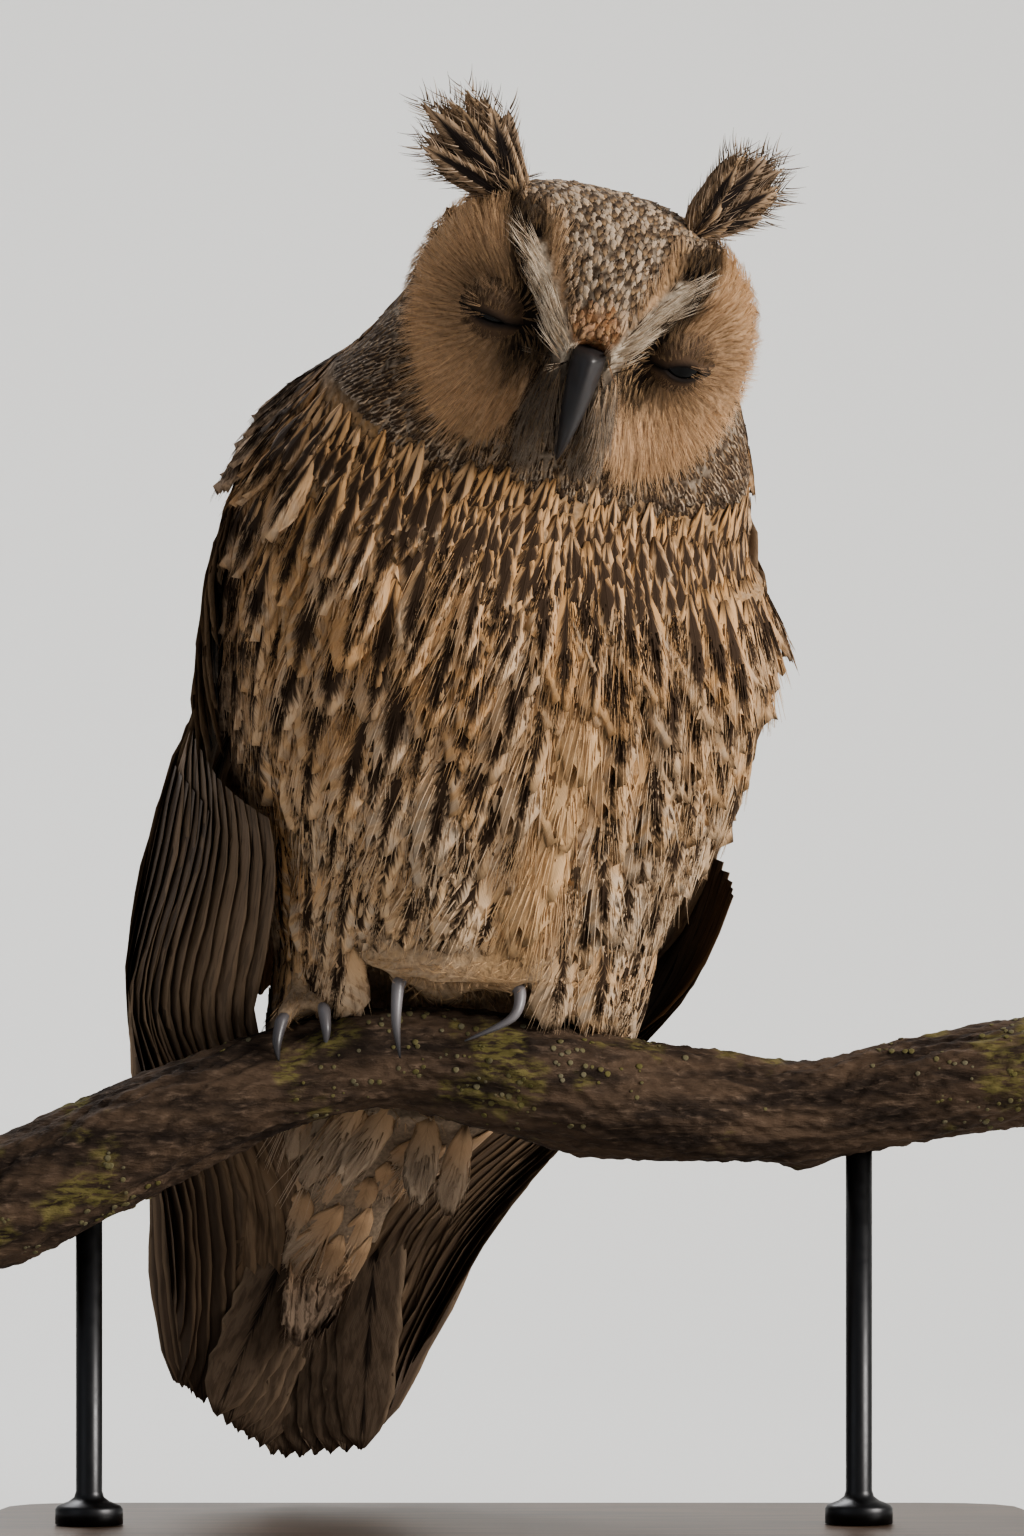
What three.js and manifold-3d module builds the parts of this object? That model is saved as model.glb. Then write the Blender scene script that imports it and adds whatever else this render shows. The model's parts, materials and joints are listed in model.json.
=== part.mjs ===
// A long-eared owl (Asio otus) dozing upright on a cut length of branch, held over a flat base by two
// short rods. Millimetres, +Z up. The bird faces -Y, its own left side is +X, and the origin lies on
// the underside of the base, straight below the middle of the branch.
import * as THREE from "three";
import { mergeVertices } from "three/addons/utils/BufferGeometryUtils.js";
import Module from "manifold-3d";

const wasm = await Module();
wasm.setup();

const { PI, abs, cos, exp, hypot, max, min, round, sign, sin } = Math;
const deg = PI / 180;
const V = (x, y, z) => new THREE.Vector3(x, y, z);
const lerp = (a, b, f) => a + (b - a) * f;
const smooth = (x, from, to) => {
  const f = min(1, max(0, (x - from) / (to - from)));
  return f * f * (3 - 2 * f);
};
const bump = (distance, width) => exp(-((distance / width) ** 2));

// Driving sizes
const gap = 0.3; // clearance between two nodes that touch
const bodyYaw = 16 * deg; // the breast turns this far towards +X
const boxiness = 2.25; // exponent of the body's rounded cross sections

// The trunk from crown to tail root: centre of each cross section, half width, and its depth towards
// the breast and towards the back.
const trunkRows = [
  { x: 24, y: -40, z: 362, side: 15, front: 12, back: 13 },
  { x: 20, y: -35, z: 348, side: 34, front: 22, back: 28 },
  { x: 15, y: -29, z: 330, side: 47, front: 30, back: 38 },
  { x: 10, y: -22, z: 310, side: 58, front: 38, back: 45 },
  { x: 4, y: -16, z: 294, side: 67, front: 46, back: 49 },
  { x: -2, y: -11, z: 278, side: 75, front: 52, back: 51 },
  { x: -4, y: -5, z: 257, side: 76, front: 56, back: 51 },
  { x: -6, y: 3, z: 230, side: 74, front: 57, back: 49 },
  { x: -10, y: 11, z: 204, side: 66, front: 55, back: 45 },
  { x: -14, y: 20, z: 178, side: 58, front: 50, back: 39 },
  { x: -22, y: 31, z: 152, side: 47, front: 37, back: 31 },
  { x: -33, y: 43, z: 127, side: 33, front: 22, back: 21 },
  { x: -44, y: 53, z: 106, side: 20, front: 12, back: 12 },
  { x: -49, y: 61, z: 84, side: 15, front: 7, back: 6 },
];
const trunkSides = 28;
const napeCut = 2.6; // row at which the head ends and the neck starts
const neckCut = 4.6; // row at which the neck ends and the torso starts

// The envelope that the folded wings lie on, from shoulder to wing tip.
const wingRows = [
  { x: -1, y: -10, z: 286, side: 70, front: 48, back: 52 },
  { x: -4, y: -4, z: 257, side: 73, front: 54, back: 59 },
  { x: -9, y: 5, z: 230, side: 73, front: 54, back: 61 },
  { x: -16, y: 16, z: 204, side: 72, front: 48, back: 60 },
  { x: -26, y: 29, z: 178, side: 74, front: 38, back: 54 },
  { x: -36, y: 43, z: 150, side: 69, front: 28, back: 44 },
  { x: -44, y: 55, z: 122, side: 59, front: 18, back: 34 },
  { x: -51, y: 66, z: 94, side: 47, front: 12, back: 25 },
  { x: -58, y: 77, z: 62, side: 39, front: 9, back: 18 },
  { x: -64, y: 87, z: 30, side: 32, front: 7, back: 13 },
];

const head = {
  centre: V(17, -40, 328),
  half: V(47, 35, 40), // half width, half depth, half height
  roll: 15.5 * deg, // leans towards +X
  yaw: 8 * deg,
  pitch: 22 * deg, // bows
  squareness: 2.35,
};
const eye = { radius: 9.2, lid: 1.3, side: 24.5, height: 7, forward: 18.5, slit: 2.2 };
const disc = { side: 22, height: 3, halfWidth: 25, halfHeight: 33 }; // each half of the face
const bill = { width: 9, depth: 12, length: 30, top: 8, forward: 33 };

// Bends of the branch from end to end: x, height and radius.
const bends = [
  { x: -142, z: 95, r: 16.6 },
  { x: -109, z: 110, r: 16 },
  { x: -83, z: 122, r: 14.8 },
  { x: -56, z: 131, r: 13.4 },
  { x: -30, z: 136, r: 13.6 },
  { x: 0, z: 131.5, r: 16.2 },
  { x: 27, z: 125.5, r: 16.2 },
  { x: 53, z: 122.3, r: 15 },
  { x: 78, z: 122, r: 13.3 },
  { x: 104, z: 127, r: 13.9 },
  { x: 142, z: 132.5, r: 14.6 },
];
const perch = { sides: 14, rows: 21 };
const footRoom = 14; // how far the belly keeps from the branch, for legs and toes
const toeRadius = 3.7;
const clawRadius = 2.2;

const base = { length: 280, width: 160, thick: 12, centreY: 12, corner: 26, bevel: 2 };
const rod = { radius: 3.5, x: [-112, 92], collarRadius: 9, collarHeight: 6 };

// Meshes and solids
function geometryOf(points, faces) {
  const geometry = new THREE.BufferGeometry();
  geometry.setAttribute(
    "position",
    new THREE.Float32BufferAttribute(points.flatMap((p) => [p.x, p.y, p.z]), 3),
  );
  geometry.setIndex(faces.flat());
  return geometry;
}

function solidOf(geometry) {
  const bare = geometry.clone();
  bare.deleteAttribute("normal");
  bare.deleteAttribute("uv");
  const merged = mergeVertices(bare, 1e-4);
  const vertProperties = merged.attributes.position.array;
  const corners = [];
  const { array: index } = merged.index;
  for (let i = 0; i < index.length; i += 3) {
    const [a, b, c] = index.slice(i, i + 3);
    if (a !== b && b !== c && c !== a) corners.push(a, b, c);
  }
  const triVerts = new Uint32Array(corners);
  const make = () => new wasm.Manifold(new wasm.Mesh({ numProp: 3, vertProperties, triVerts }));
  const solid = make();
  if (solid.volume() > 0) return solid;
  for (let i = 0; i < triVerts.length; i += 3)
    [triVerts[i + 1], triVerts[i + 2]] = [triVerts[i + 2], triVerts[i + 1]];
  return make();
}

function largest(solid) {
  return solid.decompose().reduce((a, b) => (b.volume() > a.volume() ? b : a));
}

function nodeOf(name, solid, material) {
  const { vertProperties, triVerts, numProp, numVert } = largest(solid).getMesh();
  const position = new Float32Array(numVert * 3);
  for (let i = 0; i < numVert; i++)
    position.set(vertProperties.subarray(i * numProp, i * numProp + 3), i * 3);
  const geometry = new THREE.BufferGeometry();
  geometry.setAttribute("position", new THREE.BufferAttribute(position, 3));
  geometry.setIndex(new THREE.BufferAttribute(triVerts, 1));
  geometry.computeVertexNormals();
  const mesh = new THREE.Mesh(geometry, material);
  mesh.name = name;
  return mesh;
}

// A closed skin over rings of equal length, with a fan over each end. Folded, the quads of each ring's
// second half are split to match its first half, so that a thin blade twists without its faces crossing.
function loft(rings, folded = false) {
  const n = rings[0].length;
  const points = rings.flat();
  const faces = [];
  for (let i = 0; i + 1 < rings.length; i++)
    for (let j = 0; j < n; j++) {
      const [a, b] = [i * n + j, i * n + ((j + 1) % n)];
      if (folded && j >= n / 2) faces.push([a, b, a + n], [b, b + n, a + n]);
      else faces.push([a, b, b + n], [a, b + n, a + n]);
    }
  for (const [row, turn] of [[0, 1], [rings.length - 1, -1]]) {
    const middle = rings[row].reduce((sum, p) => sum.add(p), V(0, 0, 0)).divideScalar(n);
    const tip = points.push(middle) - 1;
    for (let j = 0; j < n; j++) {
      const [a, b] = [row * n + j, row * n + ((j + 1) % n)];
      faces.push(turn > 0 ? [tip, b, a] : [tip, a, b]);
    }
  }
  return solidOf(geometryOf(points, faces));
}

// A plate over the surface at(u, v), thick(u, v) deep along its normal, split alike on both faces.
function plate(at, thick, stepsU, stepsV, outward) {
  const points = [];
  const e = 1e-3;
  const layer = (depth) => {
    for (let i = 0; i <= stepsU; i++)
      for (let j = 0; j <= stepsV; j++) {
        const [u, v] = [i / stepsU, j / stepsV];
        const du = at(min(1, u + e), v).sub(at(max(0, u - e), v));
        const dv = at(u, min(1, v + e)).sub(at(u, max(0, v - e)));
        const normal = du.cross(dv).normalize().multiplyScalar(outward);
        points.push(at(u, v).addScaledVector(normal, -depth * thick(u, v)));
      }
  };
  layer(0);
  layer(1);
  const row = stepsV + 1;
  const back = row * (stepsU + 1);
  const faces = [];
  const quad = (a, b, c, d) => faces.push([a, b, c], [a, c, d]);
  for (let i = 0; i < stepsU; i++)
    for (let j = 0; j < stepsV; j++) {
      const a = i * row + j;
      const [b, c, d] = [a + 1, a + row + 1, a + row];
      faces.push([a, b, c], [a, c, d]);
      faces.push([a + back, c + back, b + back], [a + back, d + back, c + back]);
    }
  for (let j = 0; j < stepsV; j++) {
    quad(j + 1, j, j + back, j + 1 + back);
    const a = stepsU * row + j;
    quad(a, a + 1, a + 1 + back, a + back);
  }
  for (let i = 0; i < stepsU; i++) {
    const a = i * row;
    quad(a, a + row, a + row + back, a + back);
    const b = a + stepsV;
    quad(b + row, b, b + back, b + row + back);
  }
  return solidOf(geometryOf(points, faces));
}

// A round tube through the points, with one radius for each.
function tube(points, radii, sides, steps, grow = 0) {
  const curve = new THREE.CatmullRomCurve3(points);
  const rings = [];
  for (let i = 0; i <= steps; i++) {
    const f = i / steps;
    const t = curve.getTangent(f);
    const across = V(1, 0.13, 0.07).cross(t).normalize();
    const up = t.clone().cross(across);
    const place = f * (radii.length - 1);
    const k = min(radii.length - 2, Math.floor(place));
    const r = lerp(radii[k], radii[k + 1], place - k) + grow;
    const c = curve.getPoint(f).addScaledVector(t, grow * (i === 0 ? -1 : i === steps ? 1 : 0));
    rings.push(
      Array.from({ length: sides }, (_, j) => {
        const angle = (2 * PI * j) / sides;
        return c.clone().addScaledVector(across, r * cos(angle)).addScaledVector(up, r * sin(angle));
      }),
    );
  }
  return loft(rings);
}

function ball(centre, radius, sides = 20) {
  const geometry = new THREE.SphereGeometry(1, sides, round(sides * 0.6));
  geometry.rotateX(PI / 2);
  geometry.scale(radius.x, radius.y, radius.z);
  geometry.translate(centre.x, centre.y, centre.z);
  return solidOf(geometry);
}

// The body's cross sections
function rowAt(rows, place) {
  const t = min(rows.length - 1, max(0, place));
  const k = min(rows.length - 2, Math.floor(t));
  const f = t - k;
  const pick = (i) => rows[min(rows.length - 1, max(0, i))];
  const out = {};
  for (const key of Object.keys(rows[0])) {
    const [a, b, c, d] = [k - 1, k, k + 1, k + 2].map((i) => pick(i)[key]);
    out[key] =
      0.5 * (2 * b + (c - a) * f + (2 * a - 5 * b + 4 * c - d) * f * f + (3 * b - a - 3 * c + d) * f ** 3);
  }
  return out;
}

// Centre and axes of a section: side points to the bird's left, front out of its breast.
function sectionAt(rows, place) {
  const row = rowAt(rows, place);
  const before = rowAt(rows, place - 0.5);
  const after = rowAt(rows, place + 0.5);
  const up = V(before.x - after.x, before.y - after.y, before.z - after.z).normalize();
  const side = up.clone().cross(V(sin(bodyYaw), -cos(bodyYaw), 0)).normalize();
  const front = side.clone().cross(up).normalize();
  return { row, centre: V(row.x, row.y, row.z), up, side, front };
}

// A point of a section's outline. The angle runs from the bird's left side over its breast.
function outline(rows, place, angle, grow = 0) {
  const { row, centre, side, front } = sectionAt(rows, place);
  const [c, s] = [cos(angle), sin(angle)];
  const square = (x) => sign(x) * abs(x) ** (2 / boxiness);
  const depth = s > 0 ? row.front : row.back;
  return centre
    .addScaledVector(side, (row.side + grow) * square(c))
    .addScaledVector(front, (depth + grow) * square(s));
}

function trunk(from, to, rows, sides, grow = 0) {
  const rings = [];
  for (let i = 0; i <= rows; i++) {
    const place = lerp(from, to, i / rows);
    const rimPoint = (_, j) => outline(trunkRows, place, (2 * PI * j) / sides, grow);
    rings.push(Array.from({ length: sides }, rimPoint));
  }
  return loft(rings);
}

// Head: a rounded block with two dished discs, their raised rim, brow ridges and forehead
const headTurn = new THREE.Matrix4()
  .makeTranslation(head.centre.x, head.centre.y, head.centre.z)
  .multiply(new THREE.Matrix4().makeRotationY(head.roll))
  .multiply(new THREE.Matrix4().makeRotationZ(head.yaw))
  .multiply(new THREE.Matrix4().makeRotationX(head.pitch));
const onHead = (x, forward, z) => V(x, -forward, z).applyMatrix4(headTurn);

// Distance from (x, z) to the segment between two points of the face plane.
function toSegment(x, z, [ax, az], [bx, bz]) {
  const [dx, dz] = [bx - ax, bz - az];
  const f = min(1, max(0, ((x - ax) * dx + (z - az) * dz) / (dx * dx + dz * dz)));
  return hypot(x - ax - f * dx, z - az - f * dz);
}

function faceRelief(x, z) {
  const side = abs(x);
  const ring = hypot((side - disc.side) / disc.halfWidth, (z - disc.height) / disc.halfHeight);
  const rim = 2.4 * bump(ring - 1, 0.12) * smooth(side, 12, 24);
  const dish = -8 * (1 - smooth(ring, 0.1, 0.95)) * smooth(side, 4, 12);
  const brow = 5 * bump(toSegment(side, z, [7, 7], [25, 25]), 4.2);
  const forehead = 3 * bump(side, 10) * smooth(z, 0, 14);
  const cheek = 4 * bump(toSegment(side, z, [6, -2], [11, -20]), 5.5);
  const socket = -2.5 * bump(hypot(side - eye.side + 6, z - eye.height - 6), 7);
  return rim + dish + brow + forehead + cheek + socket;
}

function headBlock(grow = 0) {
  const [turns, rises] = [34, 19];
  const { half, squareness: n } = head;
  const at = (azimuth, polar) => {
    const d = V(sin(polar) * cos(azimuth), -cos(polar), sin(polar) * sin(azimuth));
    const size = (abs(d.x) / half.x) ** n + (abs(d.y) / half.y) ** n + (abs(d.z) / half.z) ** n;
    const p = d.clone().multiplyScalar(size ** (-1 / n));
    const lift = faceRelief(p.x, p.z) * smooth(-p.y, 2, 16);
    return p.addScaledVector(V(0, -1, 0), lift).addScaledVector(d, grow).applyMatrix4(headTurn);
  };
  const rings = [];
  for (let i = 0; i < rises; i++) {
    const polar = PI * ((i + 0.5) / rises);
    rings.push(Array.from({ length: turns }, (_, j) => at((2 * PI * j) / turns, polar)));
  }
  return loft(rings);
}

const eyeCentre = (flank) => onHead(flank * eye.side, eye.forward, eye.height);
const sphere = (centre, radius, sides) => ball(centre, V(radius, radius, radius), sides);

// Bill: a hooked upper half over a shorter lower half
function billHalf(length, width, depth, forward, top, hook, grow = 0) {
  const rings = [];
  const steps = 8;
  for (let i = 0; i <= steps; i++) {
    const f = i / steps;
    const thin = (1 - f ** 1.7) * 0.93 + 0.07;
    const centre = [forward + hook * sin(f * PI * 0.62), top - length * f];
    const [w, d] = [(width / 2) * thin + grow, (depth / 2) * thin + grow];
    rings.push(
      Array.from({ length: 12 }, (_, j) => {
        const a = (2 * PI * j) / 12;
        return onHead(w * cos(a), centre[0] + d * sin(a) - (depth / 2) * (1 - thin) * 0.3, centre[1]);
      }),
    );
  }
  return loft(rings);
}
const upperBill = (grow = 0) =>
  billHalf(bill.length, bill.width, bill.depth, bill.forward + 4, bill.top, 6.5, grow);
const lowerBill = (grow = 0) =>
  billHalf(bill.length - 8, bill.width - 1.5, 7, bill.forward - 2, bill.top - 10, 4, grow);

// Branch
function bendAt(x) {
  const k = max(0, bends.findLastIndex((bend) => bend.x <= x));
  const next = bends[min(bends.length - 1, k + 1)];
  const part = next === bends[k] ? 0 : (x - bends[k].x) / (next.x - bends[k].x);
  return rowAt(bends, k + min(1, part));
}
const perchCentre = (x) => V(x, 2.5 * sin(x / 45), bendAt(x).z);
const knots = [
  { x: 88, angle: 3.7, height: 2.5, width: 11 },
  { x: -40, angle: 0.6, height: 2, width: 9 },
];
const knotsAt = (x, angle) =>
  knots.reduce((sum, k) => sum + k.height * bump(x - k.x, k.width) * max(0, cos(angle - k.angle)), 0);
function perchTube(grow = 0, reach = 0) {
  const rings = [];
  const ends = [bends[0].x - reach, bends[bends.length - 1].x + reach];
  for (let i = 0; i <= perch.rows; i++) {
    const x = lerp(...ends, i / perch.rows);
    const c = perchCentre(x);
    const t = perchCentre(x + 1).sub(perchCentre(x - 1)).normalize();
    const across = t.clone().cross(V(0, 0, 1)).normalize();
    const up = across.clone().cross(t);
    rings.push(
      Array.from({ length: perch.sides }, (_, j) => {
        const a = (2 * PI * j) / perch.sides;
        const knurl = 0.6 * sin(3 * a + x * 0.06) + 0.45 * sin(5 * a - x * 0.11);
        const r = bendAt(x).r + knurl + knotsAt(x, a) + grow;
        return c.clone().addScaledVector(across, r * cos(a)).addScaledVector(up, r * sin(a));
      }),
    );
  }
  return loft(rings);
}

// Legs, toes and claws
const perchTop = (x) => bendAt(x).z + bendAt(x).r;
const toe = (knuckle, end, claw, tip) => ({ knuckle, end, claw, tip });
// Each toe runs from a knuckle to its end, and each claw on to its bend and its tip. Heights are above
// the branch's upper side.
const feet = {
  left: {
    ankle: V(-19, 3, perchTop(-19) + 6),
    thigh: V(-12, 16, perchTop(-19) + 36),
    toes: [
      toe(V(-28, -10, 9), V(-30, -18, 5.5), V(-30.5, -20.5, -4), V(-29.5, -18.5, -13.5)),
      toe(V(-9, -9, 8), V(2, -15.5, 6.5), V(0, -19.5, -1), V(-12.5, -20, -8.5)),
      toe(V(-11, 11, 4), V(-5, 18.5, -4), V(-3, 20.5, -12), V(-2, 18.5, -20)),
      toe(V(-22, 12, 4), V(-25, 19, -4), V(-26, 20.5, -12), V(-26, 18.5, -20)),
    ],
  },
  right: {
    ankle: V(-53, 4, perchTop(-53) + 6),
    thigh: V(-44, 17, perchTop(-53) + 36),
    toes: [
      toe(V(-58, -4, 6), V(-61, -10, 2), V(-62, -13.2, -3), V(-61.5, -13.6, -8)),
      toe(V(-50.5, -4, 6), V(-49.5, -10.5, 2), V(-49, -13.4, -3), V(-49, -13.7, -8)),
      toe(V(-61, 11, 3), V(-66, 18, -5), V(-67, 20, -13), V(-67, 18, -21)),
      toe(V(-49, 12, 3), V(-46, 19, -5), V(-45, 20.5, -13), V(-45, 18.5, -21)),
    ],
  },
};
const raised = (p) => V(p.x, p.y, perchTop(p.x) + p.z);
const legRadii = [17, 11, 7.5];
const legTube = ({ ankle, thigh }, grow = 0) =>
  tube([thigh, ankle.clone().add(V(1, 2, 9)), ankle], legRadii, 12, 5, grow);
const toeTube = ({ ankle }, { knuckle, end }) =>
  tube(
    [ankle.clone().add(V(0, 0, -3)), raised(knuckle), raised(end)],
    [toeRadius + 1, toeRadius + 0.4, toeRadius - 0.6],
    7,
    4,
  );
const clawTube = ({ knuckle, end, claw, tip }, grow = 0) =>
  tube(
    [raised(knuckle).lerp(raised(end), 0.7), raised(end), raised(claw), raised(tip)],
    [clawRadius * 0.8, clawRadius, clawRadius * 0.72, 0.35],
    7,
    6,
    grow,
  );

// Vanes: flat blades along a path, with the shares of their full width and thickness at each station
const stations = [0, 0.5, 0.85, 1];
const vaneWidth = [0.6, 1, 0.85, 0.2];
const vaneThick = [1.1, 1, 0.85, 0.5];

// place(f) gives a point of the midrib and the outward normal; the blade tips over by tilt.
function vane(place, halfWidth, thick, tilt) {
  const e = 0.01;
  const rings = stations.map((f, k) => {
    const { point, normal } = place(f);
    const along = place(min(1, f + e)).point.sub(place(max(0, f - e)).point).normalize();
    const across = along.clone().cross(normal).normalize().multiplyScalar(halfWidth * vaneWidth[k]);
    const lift = normal.clone().multiplyScalar(halfWidth * vaneWidth[k]);
    const ridge = normal.clone().multiplyScalar((thick * vaneThick[k]) / 2);
    return [
      point.clone().sub(across).addScaledVector(lift, -tilt),
      point.clone().add(ridge),
      point.clone().add(across).addScaledVector(lift, tilt),
      point.clone().sub(ridge),
    ];
  });
  return loft(rings, true);
}

// Wings: both hug the flank along their front edge. The one seen from the front is a core with tiers of
// vanes shingled over it, and the one behind the body is one smooth plate out to its tip.
const wing = {
  coreEnd: 0.6, // share of the wing's length that the core spans
  front: { left: 6 * deg, right: -4 * deg }, // how far behind the side its front edge runs
  back: 74 * deg,
  wrap: 20 * deg, // how far round to the front the edge reaches beside the tail
  thick: 6,
};
const tiers = [
  { count: 6, from: [0.42, 0.16, 0.62], to: [1, 0.1, 0.62], drop: 0.03, half: 7.5, rise: 3.2 },
  { count: 5, from: [0.3, 0.45, 0.95], to: [0.67, 0.5, 0.93], drop: 0.02, half: 8.5, rise: 3.2 },
  { count: 5, from: [0.2, 0.2, 0.9], to: [0.5, 0.16, 0.86], drop: 0, half: 9.5, rise: 3.2 },
  { count: 5, from: [0.1, 0.16, 0.9], to: [0.34, 0.14, 0.9], drop: 0, half: 10, rise: 3 },
  { count: 4, from: [0.03, 0.2, 0.88], to: [0.21, 0.14, 0.9], drop: 0, half: 10, rise: 2.8 },
];
const tierStagger = 0.012; // share of the wing by which neighbouring tips differ
const tierThick = 0.85;
const tierTilt = 0.12;
const tierSink = 2; // depth of each vane's root under the core's face
const flankOf = (name) => (name === "left" ? 1 : -1);

function wingSheet(name, u, v) {
  const place = lerp(0.15, wingRows.length - 1, u);
  const edge = wing.front[name] - wing.wrap * smooth(u, 0.4, 0.8);
  const turn = lerp(edge, wing.back, v) * lerp(0.9, 1, smooth(u, 0, 0.3));
  const angle = name === "left" ? -turn : PI + turn;
  const out = outline(wingRows, place, angle);
  const hugging = outline(trunkRows, lerp(4.8, 12, u * 1.25), angle, 2.5);
  const hug = (1 - smooth(v, 0, 0.45)) * (1 - smooth(u, 0.38, 0.6)) * smooth(u, 0, 0.12);
  return out.lerp(V(hugging.x, hugging.y, out.z), 0.7 * hug);
}

function wingNormal(name, u, v) {
  const e = 0.01;
  const along = wingSheet(name, min(1, u + e), v).sub(wingSheet(name, u - e, v));
  const across = wingSheet(name, u, v + e).sub(wingSheet(name, u, v - e));
  return along.cross(across).normalize().multiplyScalar(-flankOf(name));
}

function wingCore(name) {
  const spread = (u) => 0.5 * smooth(u, -0.12, 0.16) * lerp(1, 0.8, smooth(u, 0.6, 1));
  const at = (u, v) => wingSheet(name, u * wing.coreEnd, 0.45 + spread(u) * (2 * v - 0.9));
  const thick = (u, v) => lerp(wing.thick, 1.6, smooth(u, 0.3, 1)) * lerp(0.6, 1, sin(PI * v));
  return plate(at, thick, 6, 4, -flankOf(name));
}

function smoothWing(name) {
  const frontEdge = (u) => 0.5 - 0.5 * smooth(u, -0.12, 0.16) + 0.08 * smooth(u, 0.6, 1);
  const backEdge = (u) => 0.5 + 0.48 * smooth(u, -0.1, 0.2) - 0.62 * smooth(u, 0.55, 1.05);
  const at = (u, v) => wingSheet(name, u, lerp(frontEdge(u), backEdge(u), v));
  const thick = (u, v) => lerp(wing.thick, 2, smooth(u, 0.15, 0.7)) * lerp(0.6, 1, sin(PI * v));
  return plate(at, thick, 22, 8, -flankOf(name));
}

function featheredWing(name) {
  let solid = wingCore(name);
  for (const { count, from, to, drop, half, rise } of tiers)
    for (let i = 0; i < count; i++) {
      const share = i / (count - 1);
      const [fromV, toV] = [lerp(from[1], from[2], share), lerp(to[1], to[2], share)];
      const reach = to[0] - drop * abs(i - 1) - tierStagger * ((i * 7) % 3);
      const place = (f) => {
        const [u, v] = [lerp(from[0], reach, f), lerp(fromV, toV, f)];
        const normal = wingNormal(name, u, v);
        const point = wingSheet(name, u, v).addScaledVector(normal, lerp(-tierSink, rise, f));
        return { point, normal };
      };
      solid = solid.add(vane(place, half, tierThick, tierTilt * flankOf(name)));
    }
  return solid;
}

// Tail: a short core and vanes stacked outwards from the middle pair
const tail = {
  root: V(-42, 54, 112),
  tip: V(-63, 81.5, 24),
  rootHalf: 8,
  tipHalf: 22,
  pairs: 5,
  half: 8.5,
  thick: 0.9,
};
function tailSolid() {
  const { side, front } = sectionAt(trunkRows, 12);
  const along = tail.tip.clone().sub(tail.root);
  const back = front.clone().negate();
  const start = tail.root.clone().addScaledVector(along, -0.1);
  const at = (u, v) => {
    const f = 2 * v - 1;
    const half = lerp(tail.rootHalf, tail.tipHalf, u * 0.4) + 4;
    const point = start.clone().addScaledVector(along, u * 0.45);
    return point.addScaledVector(side, f * half).addScaledVector(back, 3);
  };
  let solid = plate(at, () => 6, 5, 4, -1);
  for (let i = 0; i < 2 * tail.pairs; i++) {
    const flank = i % 2 ? 1 : -1;
    const k = (i - (i % 2)) / 2;
    const share = (k + 0.5) / tail.pairs;
    const place = (f) => {
      const half = lerp(tail.rootHalf, tail.tipHalf, f) * share * flank;
      const depth = 3.2 - 1.15 * k - (i % 2) * 0.2;
      const point = start.clone().addScaledVector(along, lerp(0.12, 1.1 - 0.025 * k, f));
      return { point: point.addScaledVector(side, half).addScaledVector(back, depth), normal: back };
    };
    solid = solid.add(vane(place, tail.half, tail.thick, 0));
  }
  return solid;
}

// Ear tufts: blades that fan from a small root on the head. Places and directions are the head's own:
// side, forward, height.
const tufts = {
  left: { root: V(20, 4, 34), lean: V(0.55, -0.1, 0.9), spread: V(0.4, 0, -0.45), length: 31 },
  right: { root: V(-24, 4, 29), lean: V(-0.95, -0.15, 0.6), spread: V(0.4, 0, 0.5), length: 38 },
};
const tuftBlades = 7;
function tuftSolid(name) {
  const { root, lean, spread, length } = tufts[name];
  const turnOnly = headTurn.clone().setPosition(0, 0, 0);
  const facing = V(0, -1, 0).applyMatrix4(turnOnly);
  const foot = onHead(root.x, root.y, root.z);
  const towards = (v) => V(v.x, -v.y, v.z).applyMatrix4(turnOnly);
  const middle = towards(lean.clone().normalize());
  let solid = ball(foot.clone().addScaledVector(middle, 3), V(7, 6, 7), 10);
  for (let i = 0; i < tuftBlades; i++) {
    const share = i / (tuftBlades - 1) - 0.5;
    const reach = length * (1 - 0.75 * abs(share) ** 1.5 - 0.06 * (i % 2));
    const direction = towards(lean.clone().normalize().addScaledVector(spread, 1.1 * share)).normalize();
    const bend = towards(spread).multiplyScalar(6 * share);
    const start = foot.clone().addScaledVector(facing, 1.2 * (i - 3)).addScaledVector(direction, -3);
    const place = (f) => {
      const point = start.clone().addScaledVector(direction, (reach + 3) * f).addScaledVector(bend, f * f);
      return { point, normal: facing };
    };
    solid = solid.add(vane(place, 4.3, 1, 0));
  }
  return solid;
}

// Materials
const paint = (color, roughness, metalness = 0) =>
  new THREE.MeshStandardMaterial({ color, roughness, metalness });
const buffPlumage = paint(0xb08a5e, 0.9);
const facePlumage = paint(0xb4804a, 0.9);
const wingPlumage = paint(0x4a3a2c, 0.85);
const tuftPlumage = paint(0x2e2622, 0.85);
const legPlumage = paint(0xb58c66, 0.9);
const hornBlack = paint(0x2b2b2f, 0.35);
const hornGrey = paint(0x50545c, 0.35);
const eyeAmber = paint(0xb4551a, 0.08);
const bark = paint(0x4f3a29, 0.9);
const baseWood = paint(0x3a2a1e, 0.45);
const rodSteel = paint(0x2a2a2c, 0.4, 0.8);

// Assembly
const owl = new THREE.Group();
const add = (name, solid, material) => owl.add(nodeOf(name, solid, material));

const branch = perchTube();
const branchGrown = perchTube(gap);
const headSolid = headBlock().add(trunk(0, napeCut, 5, trunkSides));
const headGrown = headBlock(gap).add(trunk(0, napeCut + gap / 18, 5, trunkSides, gap));
const torsoGrown = trunk(neckCut, trunkRows.length - 1, 15, trunkSides, gap);

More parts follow.
